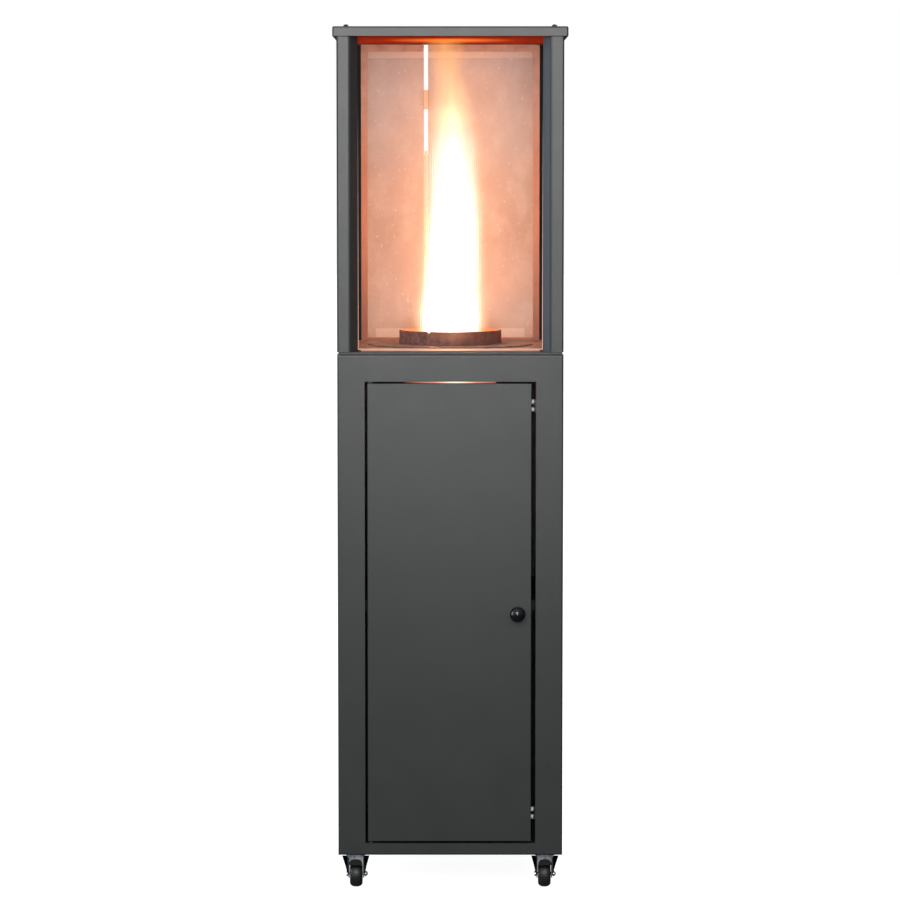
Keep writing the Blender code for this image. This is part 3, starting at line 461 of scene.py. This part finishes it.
def soot_and_painted_firelight_ceiling():
    """Steel over the flame: orange heat tint, with painted firelight brightest in the middle."""
    made, tree, shader = new_material("soot_and_painted_firelight_ceiling")
    patches = noise(tree, 18.0, 6.0, 0.6)
    drive(tree, shader, "Base Color", patches, [(0.3, (0.20, 0.020, 0.004)), (0.7, (0.34, 0.045, 0.010))])
    shader.inputs["Roughness"].default_value = 0.7
    shader.inputs["Specular IOR Level"].default_value = 0.0
    # painted firelight from the flame: orange, brightest in the middle and fading out to the sides
    reach = math_node(tree, "DIVIDE", radial(tree), CEILING_FIRELIGHT_RADIUS)
    spot = ramp(tree, reach, [(0.0, (1.0, 0.33, 0.055)), (0.4, (0.75, 0.16, 0.025)), (1.0, BLACK)])
    add_glow(tree, shader, spot, 0.9)
    bump(tree, shader, noise(tree, 200.0, 6.0), 0.3, 0.0005)
    return made


def fork_zinc_painted_shade():
    """Zinc plate, with painted shade: the outward flanges of the forks coloured black."""
    made = brushed_metal("fork_zinc_painted_shade", (0.50, 0.58, 0.66), 0.3)
    tree, shader = parts_of(made)
    from_fork = apart(tree, off_line(tree, "X", CENTRE.x), CASTOR_X)
    # painted shade: the outside of each fork's cheeks black
    tint_where(tree, shader, above(tree, from_fork, FORK_CHEEK), (0.012, 0.012, 0.014))
    return made


def catch_nylon():
    """White rollers on a base that is coloured near-black."""
    made = moulded("catch_nylon", (0.80, 0.80, 0.78), 0.35)
    tree, shader = parts_of(made)
    base = above(tree, off_line(tree, "X", CENTRE.x), CATCH_BASE_X)
    tint_where(tree, shader, base, (0.02, 0.02, 0.021))
    return made


def paint(material, *names):
    """Give CAD nodes a finish."""
    for name in names:
        for slot in nodes[name].material_slots:
            slot.material = material


# ---------------------------------------------------------------- pieces


def piece(name, bm, material, body):
    """Show a mesh as a piece of the object, riding on a body and given a material."""
    bmesh.ops.recalc_face_normals(bm, faces=bm.faces)
    mesh = bpy.data.meshes.new(name)
    bm.to_mesh(mesh)
    bm.free()
    obj = bpy.data.objects.new(name, mesh)
    bpy.context.scene.collection.objects.link(obj)
    mesh.materials.append(material)
    for face in mesh.polygons:
        face.use_smooth = True
    mesh.set_sharp_from_angle(angle=SHARP)
    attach(obj, body)
    return obj


def polar(radius, angle, height=0.0):
    """A point at a radius and an angle about Z."""
    return Vector((radius * math.cos(angle), radius * math.sin(angle), height))


def add_turned(bm, profile, place, turn=Matrix.Identity(4), steps=24):
    """Turn (radius, height) pairs about Z, then turn and move the ring of faces into place."""
    rings = []
    for radius, height in profile:
        if radius < 1e-6:
            rings.append([bm.verts.new((0.0, 0.0, height))])
            continue
        angles = [2 * math.pi * step / steps for step in range(steps)]
        rings.append([bm.verts.new(polar(radius, angle, height)) for angle in angles])
    for upper, lower in zip(rings, rings[1:]):
        for step in range(steps):
            after = (step + 1) % steps
            around = [upper[step % len(upper)], upper[after % len(upper)]]
            around += [lower[after % len(lower)], lower[step % len(lower)]]
            corners = list(dict.fromkeys(around))
            if len(corners) > 2:
                bm.faces.new(corners)
    used = [vert for ring in rings for vert in ring]
    bmesh.ops.transform(bm, matrix=Matrix.Translation(place) @ turn, verts=used)


def skin(bm, rings):
    """Close a form over rings that all have the same number of points."""
    for lower, upper in zip(rings, rings[1:]):
        for step in range(len(lower)):
            after = (step + 1) % len(lower)
            bm.faces.new((lower[step], lower[after], upper[after], upper[step]))
    bm.faces.new(rings[-1])
    bm.faces.new(list(reversed(rings[0])))


def disc(radius, top, foot):
    """The profile of a plain round plate."""
    return [(0.0, top), (radius, top), (radius, foot), (0.0, foot)]


def chamfered(radius, rim, top, chamfer, foot):
    """The profile of a head, nut or cup whose lower edge narrows from `radius` to `rim`."""
    return [(0.0, top), (radius, top), (radius, chamfer), (rim, foot), (0.0, foot)]


# ---------------------------------------------------------------- flame

FLAME_LOW = RIM_Z - 0.026
FLAME_HIGH = CEILING_Z - 0.002
SHELLS = 15
# Half the flame's width at each height
FLAME_WIDTH = (
    (1.040, 0.0730), (1.090, 0.0782), (1.168, 0.0722), (1.246, 0.0710), (1.324, 0.0678), (1.402, 0.0632),
    (1.441, 0.0605), (1.480, 0.0540), (1.519, 0.0450), (1.558, 0.0410), (1.597, 0.0430), (1.640, 0.0490),
)
# How far its middle leans to +X at each height
FLAME_SWAY = (
    (1.040, 0.0010), (1.090, 0.0014), (1.324, 0.0062), (1.441, 0.0050), (1.519, 0.0014), (1.597, -0.0064),
    (1.640, -0.0130),
)
# Its heat and its whiteness at each share of its height
FLAME_HEAT = (
    (0.0, 0.90, 1.0), (0.08, 0.76, 1.0), (0.21, 0.60, 1.0), (0.34, 0.42, 1.0), (0.475, 0.30, 1.0),
    (0.61, 0.22, 0.85), (0.70, 0.155, 0.65), (0.80, 0.110, 0.36), (0.94, 0.075, 0.08), (1.0, 0.070, 0.0),
)
# How solid the outer shells are, from the outline inwards; the others are at 1
SHELL_SHARE = (0.03, 0.05, 0.09, 0.16, 0.28, 0.45, 0.7)
SHELL_ALPHA = 0.02
SHELL_STRENGTH = 31.0
WHITE_AFTER = 5  # shells from the orange outline to the pale heart


def read_shape(shape, place):
    """Read a smooth value from (place, value) pairs."""
    for (low, low_value), (high, high_value) in zip(shape, shape[1:]):
        if place <= high:
            part = max(place - low, 0.0) / (high - low)
            return low_value + (high_value - low_value) * part * part * (3 - 2 * part)
    return shape[-1][1]


def lick(angle, z):
    """How far the flame's edge swells or shrinks at an angle and a height, the same for every shell."""
    around = polar(1.0, angle)
    broad = field.noise(around * 1.3 + Vector((3.0, 7.0, z * 7.0)))
    fine = field.noise(around * 5.0 + Vector((11.0, 2.0, z * 9.0)))
    rise = (z - FLAME_LOW) / (FLAME_HIGH - FLAME_LOW)
    return 1.0 + (0.02 + 0.10 * rise) * broad + (0.03 + 0.10 * rise) * fine


def flame_shell(number):
    """One layer of the flame, from the outline at number 0 inwards."""
    share = 1.0 - (number / SHELLS) ** 1.35
    steps = 56
    levels = 48
    bm = bmesh.new()
    rings = []
    for level in range(levels + 1):
        z = FLAME_LOW + (FLAME_HIGH - FLAME_LOW) * level / levels
        middle = CENTRE + Vector((read_shape(FLAME_SWAY, z), 0.0, z))
        width = read_shape(FLAME_WIDTH, z) * share
        angles = [2 * math.pi * step / steps for step in range(steps)]
        rings.append([bm.verts.new(middle + polar(width * lick(angle, z), angle)) for angle in angles])
    skin(bm, rings)
    return bm


def flame_material(number):
    """Thin glowing gas: orange at the outline, pale at the heart, and weaker the higher it rises."""
    made, tree, shader = new_material(f"flame_gas_{number:02d}")
    shader.inputs["Base Color"].default_value = (*BLACK, 1.0)
    shader.inputs["Specular IOR Level"].default_value = 0.0
    shader.inputs["Roughness"].default_value = 1.0
    share = SHELL_SHARE[number] if number < len(SHELL_SHARE) else 1.0
    shader.inputs["Alpha"].default_value = SHELL_ALPHA * share
    depth = min(max((number - 1) / WHITE_AFTER, 0.0), 1.0)
    stops = []
    for height, heat, whiteness in FLAME_HEAT:
        white = whiteness * depth
        green = 0.42 + 0.40 * white
        blue = green * (0.24 + 0.76 * white)
        stops.append((height, (heat, heat * green, heat * blue)))
    colours = ramp(tree, spread(tree, "Z", FLAME_LOW, FLAME_HIGH), stops)
    wisps = ramp(tree, noise(tree, 46.0, 3.0, 0.5, (1.0, 1.0, 0.14)), [(0.3, 0.55), (0.7, 1.0)])
    add_glow(tree, shader, colours, SHELL_STRENGTH, wisps)
    return made


def flame():
    """Nested shells that add up to a soft flame and take no light from the rest."""
    for number in range(SHELLS):
        gas = flame_material(number)
        shell = piece(f"flame_{number:02d}", flame_shell(number), gas, "tower")
        shell.visible_shadow = False
        shell.visible_diffuse = False


def fuel_bed():
    """Glowing pellets heaped on a mound of ash in the mouth of the pot."""
    rng = random.Random(7)
    bed = 0.082
    heap_rise = 0.012
    heap_half = 0.085
    settled = 0.012
    thick = 0.003
    edge = 0.0026
    bm = bmesh.new()
    mound = [(0.0, -0.004), (bed * 0.6, -0.009), (bed, -0.018), (bed, -0.030), (0.0, -0.030)]
    add_turned(bm, mound, CENTRE + Vector((0, 0, FLOOR_Z)), steps=40)
    for _ in range(260):
        reach = bed * math.sqrt(rng.random())
        place = CENTRE + polar(reach, rng.uniform(0, 2 * math.pi))
        heap = heap_rise * (1 - (reach / heap_half) ** 2)
        place.z = FLOOR_Z - settled + heap + rng.uniform(-0.003, 0.003)
        lean = Matrix.Rotation(rng.uniform(0, math.pi), 4, "Z")
        lean = lean @ Matrix.Rotation(rng.uniform(1.1, 2.0), 4, "X")
        half = rng.uniform(0.006, 0.010)
        upper = [(0.0, half), (edge, half), (thick, half * 0.9)]
        lower = [(radius, -height) for radius, height in reversed(upper)]
        add_turned(bm, upper + lower, place, lean, 8)
    fuel = glowing("glowing_fuel", (0.25, 0.02, 0.0), (1.0, 0.42, 0.08), 5.0)
    piece("fuel_bed", bm, fuel, "tower")


def rim_ember():
    """A spark that sits on the front of the burner's rim."""
    low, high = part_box("burner_ring")
    angle = math.radians(-114.5)
    half_wall = 0.0015
    reach = (high.x - low.x) / 2 - half_wall
    size = 0.0032
    corner = size * 0.7
    ball = [(0.0, size), (corner, corner), (size, 0.0), (corner, -corner), (0.0, -size)]
    bm = bmesh.new()
    add_turned(bm, ball, CENTRE + polar(reach, angle, RIM_Z), steps=12)
    spark = glowing("spark", (1.0, 0.72, 0.45), (1.0, 0.85, 0.65), 3.0)
    piece("rim_ember", bm, spark, "tower")


def slit_seal():
    """A bead of sealant that fills the lower part of the slit between the rear panes."""
    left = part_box("rear_glass_left")[1]
    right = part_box("rear_glass_right")[0]
    middle = (left.x + right.x) / 2
    gap = 0.0004
    set_in = 0.0008
    rounding = 0.0008
    shoulder = 0.002
    back = left.y - set_in
    front = right.y + set_in
    foot = FLOOR_Z + 0.001
    top = 1.422
    taper = 0.010
    profile = (
        (left.x + gap, front + rounding), (left.x + shoulder, front), (right.x - shoulder, front),
        (right.x - gap, front + rounding), (right.x - gap, back), (left.x + gap, back),
    )
    bm = bmesh.new()
    rings = []
    for z, narrow in ((foot, 1.0), (top - taper, 1.0), (top, 0.35)):
        rings.append([bm.verts.new((middle + (x - middle) * narrow, y, z)) for x, y in profile])
    skin(bm, rings)
    bead = moulded("pale_sealant", (0.62, 0.42, 0.33), 0.5)
    piece("slit_seal", bm, bead, "tower")


# ---------------------------------------------------------------- small fixings

HEX = 6
ROUND = 20


def castor_axis(place):
    """A castor's swivel axis, at the height of the top of its wheel."""
    low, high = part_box("castor_plate_" + place)
    return Vector(((low.x + high.x) / 2, (low.y + high.y) / 2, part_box("wheel_tyre_" + place)[1].z))


def castor_bolts(zinc):
    """Under each corner of each castor plate, a bolt head with its washer."""
    inset = 0.008
    radius = 0.0042
    rise = 0.003
    washer = disc(radius * 1.35, 0.0, -rise * 0.25)
    head = chamfered(radius, radius * 0.86, -rise * 0.2, -rise * 0.85, -rise)
    for place in PLACES:
        low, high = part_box("castor_plate_" + place)
        bm = bmesh.new()
        for x in (low.x + inset, high.x - inset):
            for y in (low.y + inset, high.y - inset):
                spot = Vector((x, y, low.z))
                add_turned(bm, washer, spot, steps=ROUND)
                add_turned(bm, head, spot, steps=HEX)
        piece("castor_bolts_" + place, bm, zinc, "tower")


def swivel_cups(zinc, black):
    """Under each fork's crown, the pressed cup that holds the balls and the nut on the swivel pin."""
    crown_foot = 0.0152  # just under the crown, up from the top of the wheel
    cup = chamfered(0.0127, 0.0112, 0.0, -0.0042, -0.0058)
    nut = chamfered(0.0105, 0.0090, -0.0060, -0.0105, -0.0118)
    pin = [(0.0, -0.0116), (0.0055, -0.0116), (0.0048, -0.0136), (0.0, -0.0136)]
    for place in PLACES:
        axis = castor_axis(place) + Vector((0.0, 0.0, crown_foot))
        rides = "castor_swivel_" + place
        bm = bmesh.new()
        add_turned(bm, cup, axis, steps=32)
        piece("swivel_cup_" + place, bm, zinc, rides)
        bm = bmesh.new()
        add_turned(bm, nut, axis, steps=HEX)
        add_turned(bm, pin, axis, steps=ROUND)
        piece("swivel_nut_" + place, bm, black, rides)


def slab(outline, front_y, thick):
    """A plate with a flat outline of (x, z) pairs, from one y backwards."""
    bm = bmesh.new()
    rings = [[bm.verts.new((x, y, z)) for x, z in outline] for y in (front_y + thick, front_y)]
    skin(bm, rings)
    return bm


def fork_fronts(zinc, black):
    """The turned-down front edge of each fork's crown, arched over the wheel, and behind it a black sheet of
    painted shade between the crown and the tyre.
    """
    over_wheel = 0.0150
    half = 0.0130
    deep = 0.0105
    arch_half = 0.0112
    arch_rise = 0.0058
    arch_foot = 0.0100
    arch_steps = 8
    shade_sheet_top = 0.0020
    shade_sheet_foot = 0.0165
    thick = 0.0012
    front_gap = 0.0004
    shade_sheet_gap = 0.0020
    for place in PLACES:
        axis = castor_axis(place)
        top = axis.z + over_wheel
        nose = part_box("castor_fork_" + place)[0].y
        rides = "castor_swivel_" + place
        left, right = axis.x - half, axis.x + half
        outline = [(right, top - deep), (right, top), (left, top), (left, top - deep)]
        for step in range(arch_steps, -1, -1):
            angle = math.pi * step / arch_steps
            z = top - arch_foot + arch_rise * math.sin(angle)
            outline.append((axis.x + arch_half * math.cos(angle), z))
        piece("fork_front_" + place, slab(outline, nose + front_gap, thick), zinc, rides)
        # a dark sheet where there is only shade: painted shade in the fork's throat above the tyre
        shade_sheet = [(left, top - shade_sheet_foot), (right, top - shade_sheet_foot)]
        shade_sheet += [(right, top - shade_sheet_top), (left, top - shade_sheet_top)]
        piece("painted_shade_sheet_" + place, slab(shade_sheet, nose + shade_sheet_gap, thick), black, rides)


def knob_nut(zinc):
    """The nut and washer inside the door that hold the knob."""
    low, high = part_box("door_knob")
    sheet = 0.0022  # the door's sheet and a small gap
    inner_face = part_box("door_panel")[0].y + sheet
    place = Vector(((low.x + high.x) / 2, inner_face, (low.z + high.z) / 2))
    inwards = Matrix.Rotation(math.pi / 2, 4, "X")
    size = 0.0058
    washer = 0.001
    rise = 0.004
    bm = bmesh.new()
    add_turned(bm, disc(size * 1.4, 0.0, -washer), place, inwards, 24)
    nut = chamfered(size, size * 0.86, -washer, -rise, -rise - 0.0008)
    add_turned(bm, nut, place, inwards, HEX)
    piece("knob_nut", bm, zinc, "door")


def rear_screws(black):
    """Pan-head screws down both edges of the rear panel."""
    low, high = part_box("rear_panel")
    radius = 0.0045
    rise = 0.0022
    inset = 0.008
    margin = 0.04
    gaps = 4
    head = [(0.0, rise), (radius * 0.5, rise * 0.95), (radius * 0.85, rise * 0.6), (radius, 0.0)]
    backwards = Matrix.Rotation(-math.pi / 2, 4, "X")
    bm = bmesh.new()
    for side in (-1, 1):
        for number in range(gaps + 1):
            z = low.z + margin + (high.z - low.z - 2 * margin) * number / gaps
            place = Vector((CENTRE.x + side * (high.x - inset), high.y, z))
            add_turned(bm, head, place, backwards, ROUND)
    piece("rear_panel_screws", bm, black, "tower")


def vent_hoods(coat):
    """A pressed hood over each vent slot of the rear panel, in a low and a high group."""
    back_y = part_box("rear_panel")[1].y
    rows = 6
    pitch = 0.020
    bm = bmesh.new()
    for foot in (0.200, 0.780):
        for row in range(rows):
            add_hood(bm, back_y, foot + row * pitch)
    piece("rear_vent_hoods", bm, coat, "tower")


def add_hood(bm, back_y, z):
    """One pressed hood: a curved lip over a slot, sloped down to the sheet at its ends."""
    half = 0.073
    slope = 0.004
    depth = 0.005
    height = 0.010
    gap = 0.0002
    lift = 0.001
    steps = 6
    left, right = CENTRE.x - half, CENTRE.x + half
    rings = []
    for share, x in ((0.0, left - slope), (1.0, left), (1.0, right), (0.0, right + slope)):
        ring = []
        for step in range(steps + 1):
            angle = math.pi / 2 * step / steps
            y = back_y + depth * share * math.sin(angle) + gap
            ring.append(bm.verts.new((x, y, z + lift + height * math.cos(angle))))
        rings.append(ring)
    for before, after in zip(rings, rings[1:]):
        for step in range(steps):
            bm.faces.new((before[step], after[step], after[step + 1], before[step + 1]))


# ---------------------------------------------------------------- studio


def studio_floor():
    """A pale floor that shows only to the camera, so that it throws no light up at the heater."""
    bm = bmesh.new()
    bmesh.ops.create_grid(bm, x_segments=1, y_segments=1, size=40.0)
    mesh = bpy.data.meshes.new("studio_floor")
    bm.to_mesh(mesh)
    bm.free()
    made, tree, shader = new_material("pale_floor")
    drive(tree, shader, "Base Color", noise(tree, 3.0), [(0.3, 0.38), (0.7, 0.40)])
    shader.inputs["Roughness"].default_value = 0.9
    shader.inputs["Specular IOR Level"].default_value = 0.0
    shader.inputs["Emission Color"].default_value = (1.0, 1.0, 1.0, 1.0)
    shader.inputs["Emission Strength"].default_value = 0.94
    mesh.materials.append(made)
    floor = bpy.data.objects.new("studio_floor", mesh)
    floor.visible_diffuse = False
    floor.visible_glossy = False
    bpy.context.scene.collection.objects.link(floor)


def add_lamp(data, place, energy, colour):
    """Put a lamp in the scene, out of the camera's sight."""
    data.energy = energy
    data.color = colour
    lamp = bpy.data.objects.new(data.name, data)
    lamp.location = place
    lamp.visible_camera = False
    bpy.context.scene.collection.objects.link(lamp)
    return lamp


def area_light(name, place, target, size, energy, colour=(1.0, 1.0, 1.0)):
    """A softbox of a width and a height, turned to face a target."""
    data = bpy.data.lights.new(name, "AREA")
    data.shape = "RECTANGLE"
    data.size, data.size_y = size
    lamp = add_lamp(data, place, energy, colour)
    lamp.rotation_euler = (Vector(target) - Vector(place)).to_track_quat("-Z", "Y").to_euler()


def fire_light(name, z, energy, radius):
    """A small orange lamp on the flame's line."""
    data = bpy.data.lights.new(name, "POINT")
    data.shadow_soft_size = radius
    add_lamp(data, (CENTRE.x, CENTRE.y, z), energy, (1.0, 0.42, 0.13))


def studio_world():
    """Plain white to the camera, and to all else a dimmer sky, darker to the right, over a dark ground."""
    world = bpy.data.worlds.new("studio")
    world.use_nodes = True
    tree = world.node_tree
    white = tree.nodes["Background"]
    white.inputs["Color"].default_value = (1.0, 1.0, 1.0, 1.0)
    parts = tree.nodes.new("ShaderNodeSeparateXYZ")
    tree.links.new(tree.nodes.new("ShaderNodeTexCoord").outputs["Generated"], parts.inputs["Vector"])
    height = span(tree, parts.outputs["Z"], -0.25, 0.30)
    upright = ramp(tree, height, [(0.0, (0.08, 0.08, 0.085)), (1.0, (0.66, 0.66, 0.66))])
    across = ramp(tree, span(tree, parts.outputs["X"], -1.0, 1.0), [(0.0, 1.0), (0.5, 0.9), (1.0, 0.15)])
    sky = tree.nodes.new("ShaderNodeBackground")
    tree.links.new(mix(tree, across, BLACK, upright), sky.inputs["Color"])
    either = tree.nodes.new("ShaderNodeMixShader")
    tree.links.new(tree.nodes.new("ShaderNodeLightPath").outputs["Is Camera Ray"], either.inputs["Fac"])
    tree.links.new(sky.outputs["Background"], either.inputs[1])
    tree.links.new(white.outputs["Background"], either.inputs[2])
    tree.links.new(either.outputs["Shader"], tree.nodes["World Output"].inputs["Surface"])
    bpy.context.scene.world = world


def lights():
    """A large box high in front, a small one low in front, a cool one at the left, a fill, and the fire."""
    area_light("key_softbox", (-0.35, -4.2, 2.35), (-0.35, 0.0, 2.1), (2.3, 2.1), 112.0)
    area_light("middle_card", (0.0, -4.2, 0.80), (0.0, 0.0, 0.9), (0.45, 0.6), 11.0)
    area_light("cool_panel", (-3.6, -0.6, 1.5), (0.0, 0.0, 1.3), (1.6, 2.2), 48.0, (0.60, 0.80, 1.0))
    area_light("back_fill", (2.6, 3.4, 4.2), (0.0, 0.0, 0.9), (2.0, 2.2), 150.0)
    fire_light("fire_low", RIM_Z + 0.06, 1.0, 0.04)
    fire_light("fire_middle", RIM_Z + 0.20, 1.7, 0.035)
    fire_light("fire_high", RIM_Z + 0.42, 0.9, 0.025)


def camera():
    """A long lens a little above the middle, tipped slightly down."""
    aside = -0.0006
    distance = 6.433
    height = 1.374
    tip = math.radians(4.64)
    data = bpy.data.cameras.new("photo_camera")
    data.lens = 135.7
    data.sensor_width = 36.0
    seen = bpy.data.objects.new("photo_camera", data)
    seen.location = (aside, FRONT_Y - distance, height)
    seen.rotation_euler = (math.radians(90.0) - tip, 0.0, 0.0)
    bpy.context.scene.collection.objects.link(seen)
    bpy.context.scene.camera = seen


# ---------------------------------------------------------------- everything


def finishes(coat, zinc, black):
    """Give every CAD node its finish."""
    paint(coat, "front_frame", "side_panel_left", "side_panel_right", "rear_panel", "bottom_panel")
    paint(coat, "door_panel", "top_cap", *("post_" + place for place in PLACES))
    paint(rusted_steel("ash_dusted_shelf", (0.006, 0.006, 0.006), (0.020, 0.019, 0.018), 50.0), "ash_shelf")
    paint(scorched_floor(), "chamber_floor")
    paint(tinted_frame(), "rear_glass_frame_left", "rear_glass_frame_right")
    paint(clear_glass(), "front_glass")
    paint(side_glass(), "left_glass", "right_glass")
    paint(rear_glass(), "rear_glass_left", "rear_glass_right")
    paint(soot_and_painted_firelight_ceiling(), "ceiling_plate")
    paint(rust_and_painted_light_ring(), "burner_ring")
    paint(rusted_steel("rusted_grate", (0.050, 0.026, 0.024), (0.14, 0.075, 0.066), 70.0), "grate")
    paint(rusted_steel("scorched_flange", (0.12, 0.07, 0.055), (0.26, 0.17, 0.14), 45.0), "firepot_flange")
    paint(pot_with_painted_firelight(), "firepot")
    plain = brushed_metal("plain_sheet_steel", (0.34, 0.32, 0.31), 0.45)
    paint(plain, "shutter_bolt", "air_shutter", "ash_tray")
    paint(moulded("pale_clip", (0.62, 0.44, 0.32), 0.5), "rear_glass_clip")
    paint(zinc, "strike_upper", "strike_lower")
    paint(brushed_metal("dull_pin", (0.10, 0.10, 0.105), 0.55), "pivot_pin_upper", "pivot_pin_lower")
    paint(black, *("cap_screw_" + place for place in PLACES))
    paint(moulded("polished_phenolic", (0.006, 0.006, 0.007), 0.10, 0.02), "door_knob")
    paint(catch_nylon(), "roller_catch_upper", "roller_catch_lower")
    tyre = moulded("tyre_rubber", (0.014, 0.014, 0.014), 0.45, 0.2)
    hub = moulded("hub_plastic", (0.02, 0.02, 0.021), 0.4)
    fork = fork_zinc_painted_shade()
    for place in PLACES:
        paint(zinc, "castor_plate_" + place, "castor_axle_" + place)
        paint(fork, "castor_fork_" + place)
        paint(hub, "wheel_hub_" + place)
        paint(tyre, "wheel_tyre_" + place)


coat_finish = powder_coat()
zinc_finish = brushed_metal("bright_zinc", (0.62, 0.67, 0.72), 0.3)
black_finish = moulded("black_enamel", (0.015, 0.015, 0.016), 0.35)
# painted shade: near-black for the sheet in each fork's throat
shade_sheet_finish = moulded("painted_shade_black", (0.004, 0.004, 0.004), 0.8)
finishes(coat_finish, zinc_finish, black_finish)
flame()
fuel_bed()
rim_ember()
slit_seal()
knob_nut(zinc_finish)
castor_bolts(zinc_finish)
swivel_cups(zinc_finish, black_finish)
fork_fronts(zinc_finish, shade_sheet_finish)
rear_screws(black_finish)
vent_hoods(coat_finish)
studio_floor()
studio_world()
lights()
camera()
scene = bpy.context.scene
scene.view_settings.view_transform = "Standard"
scene.cycles.transparent_max_bounces = 64
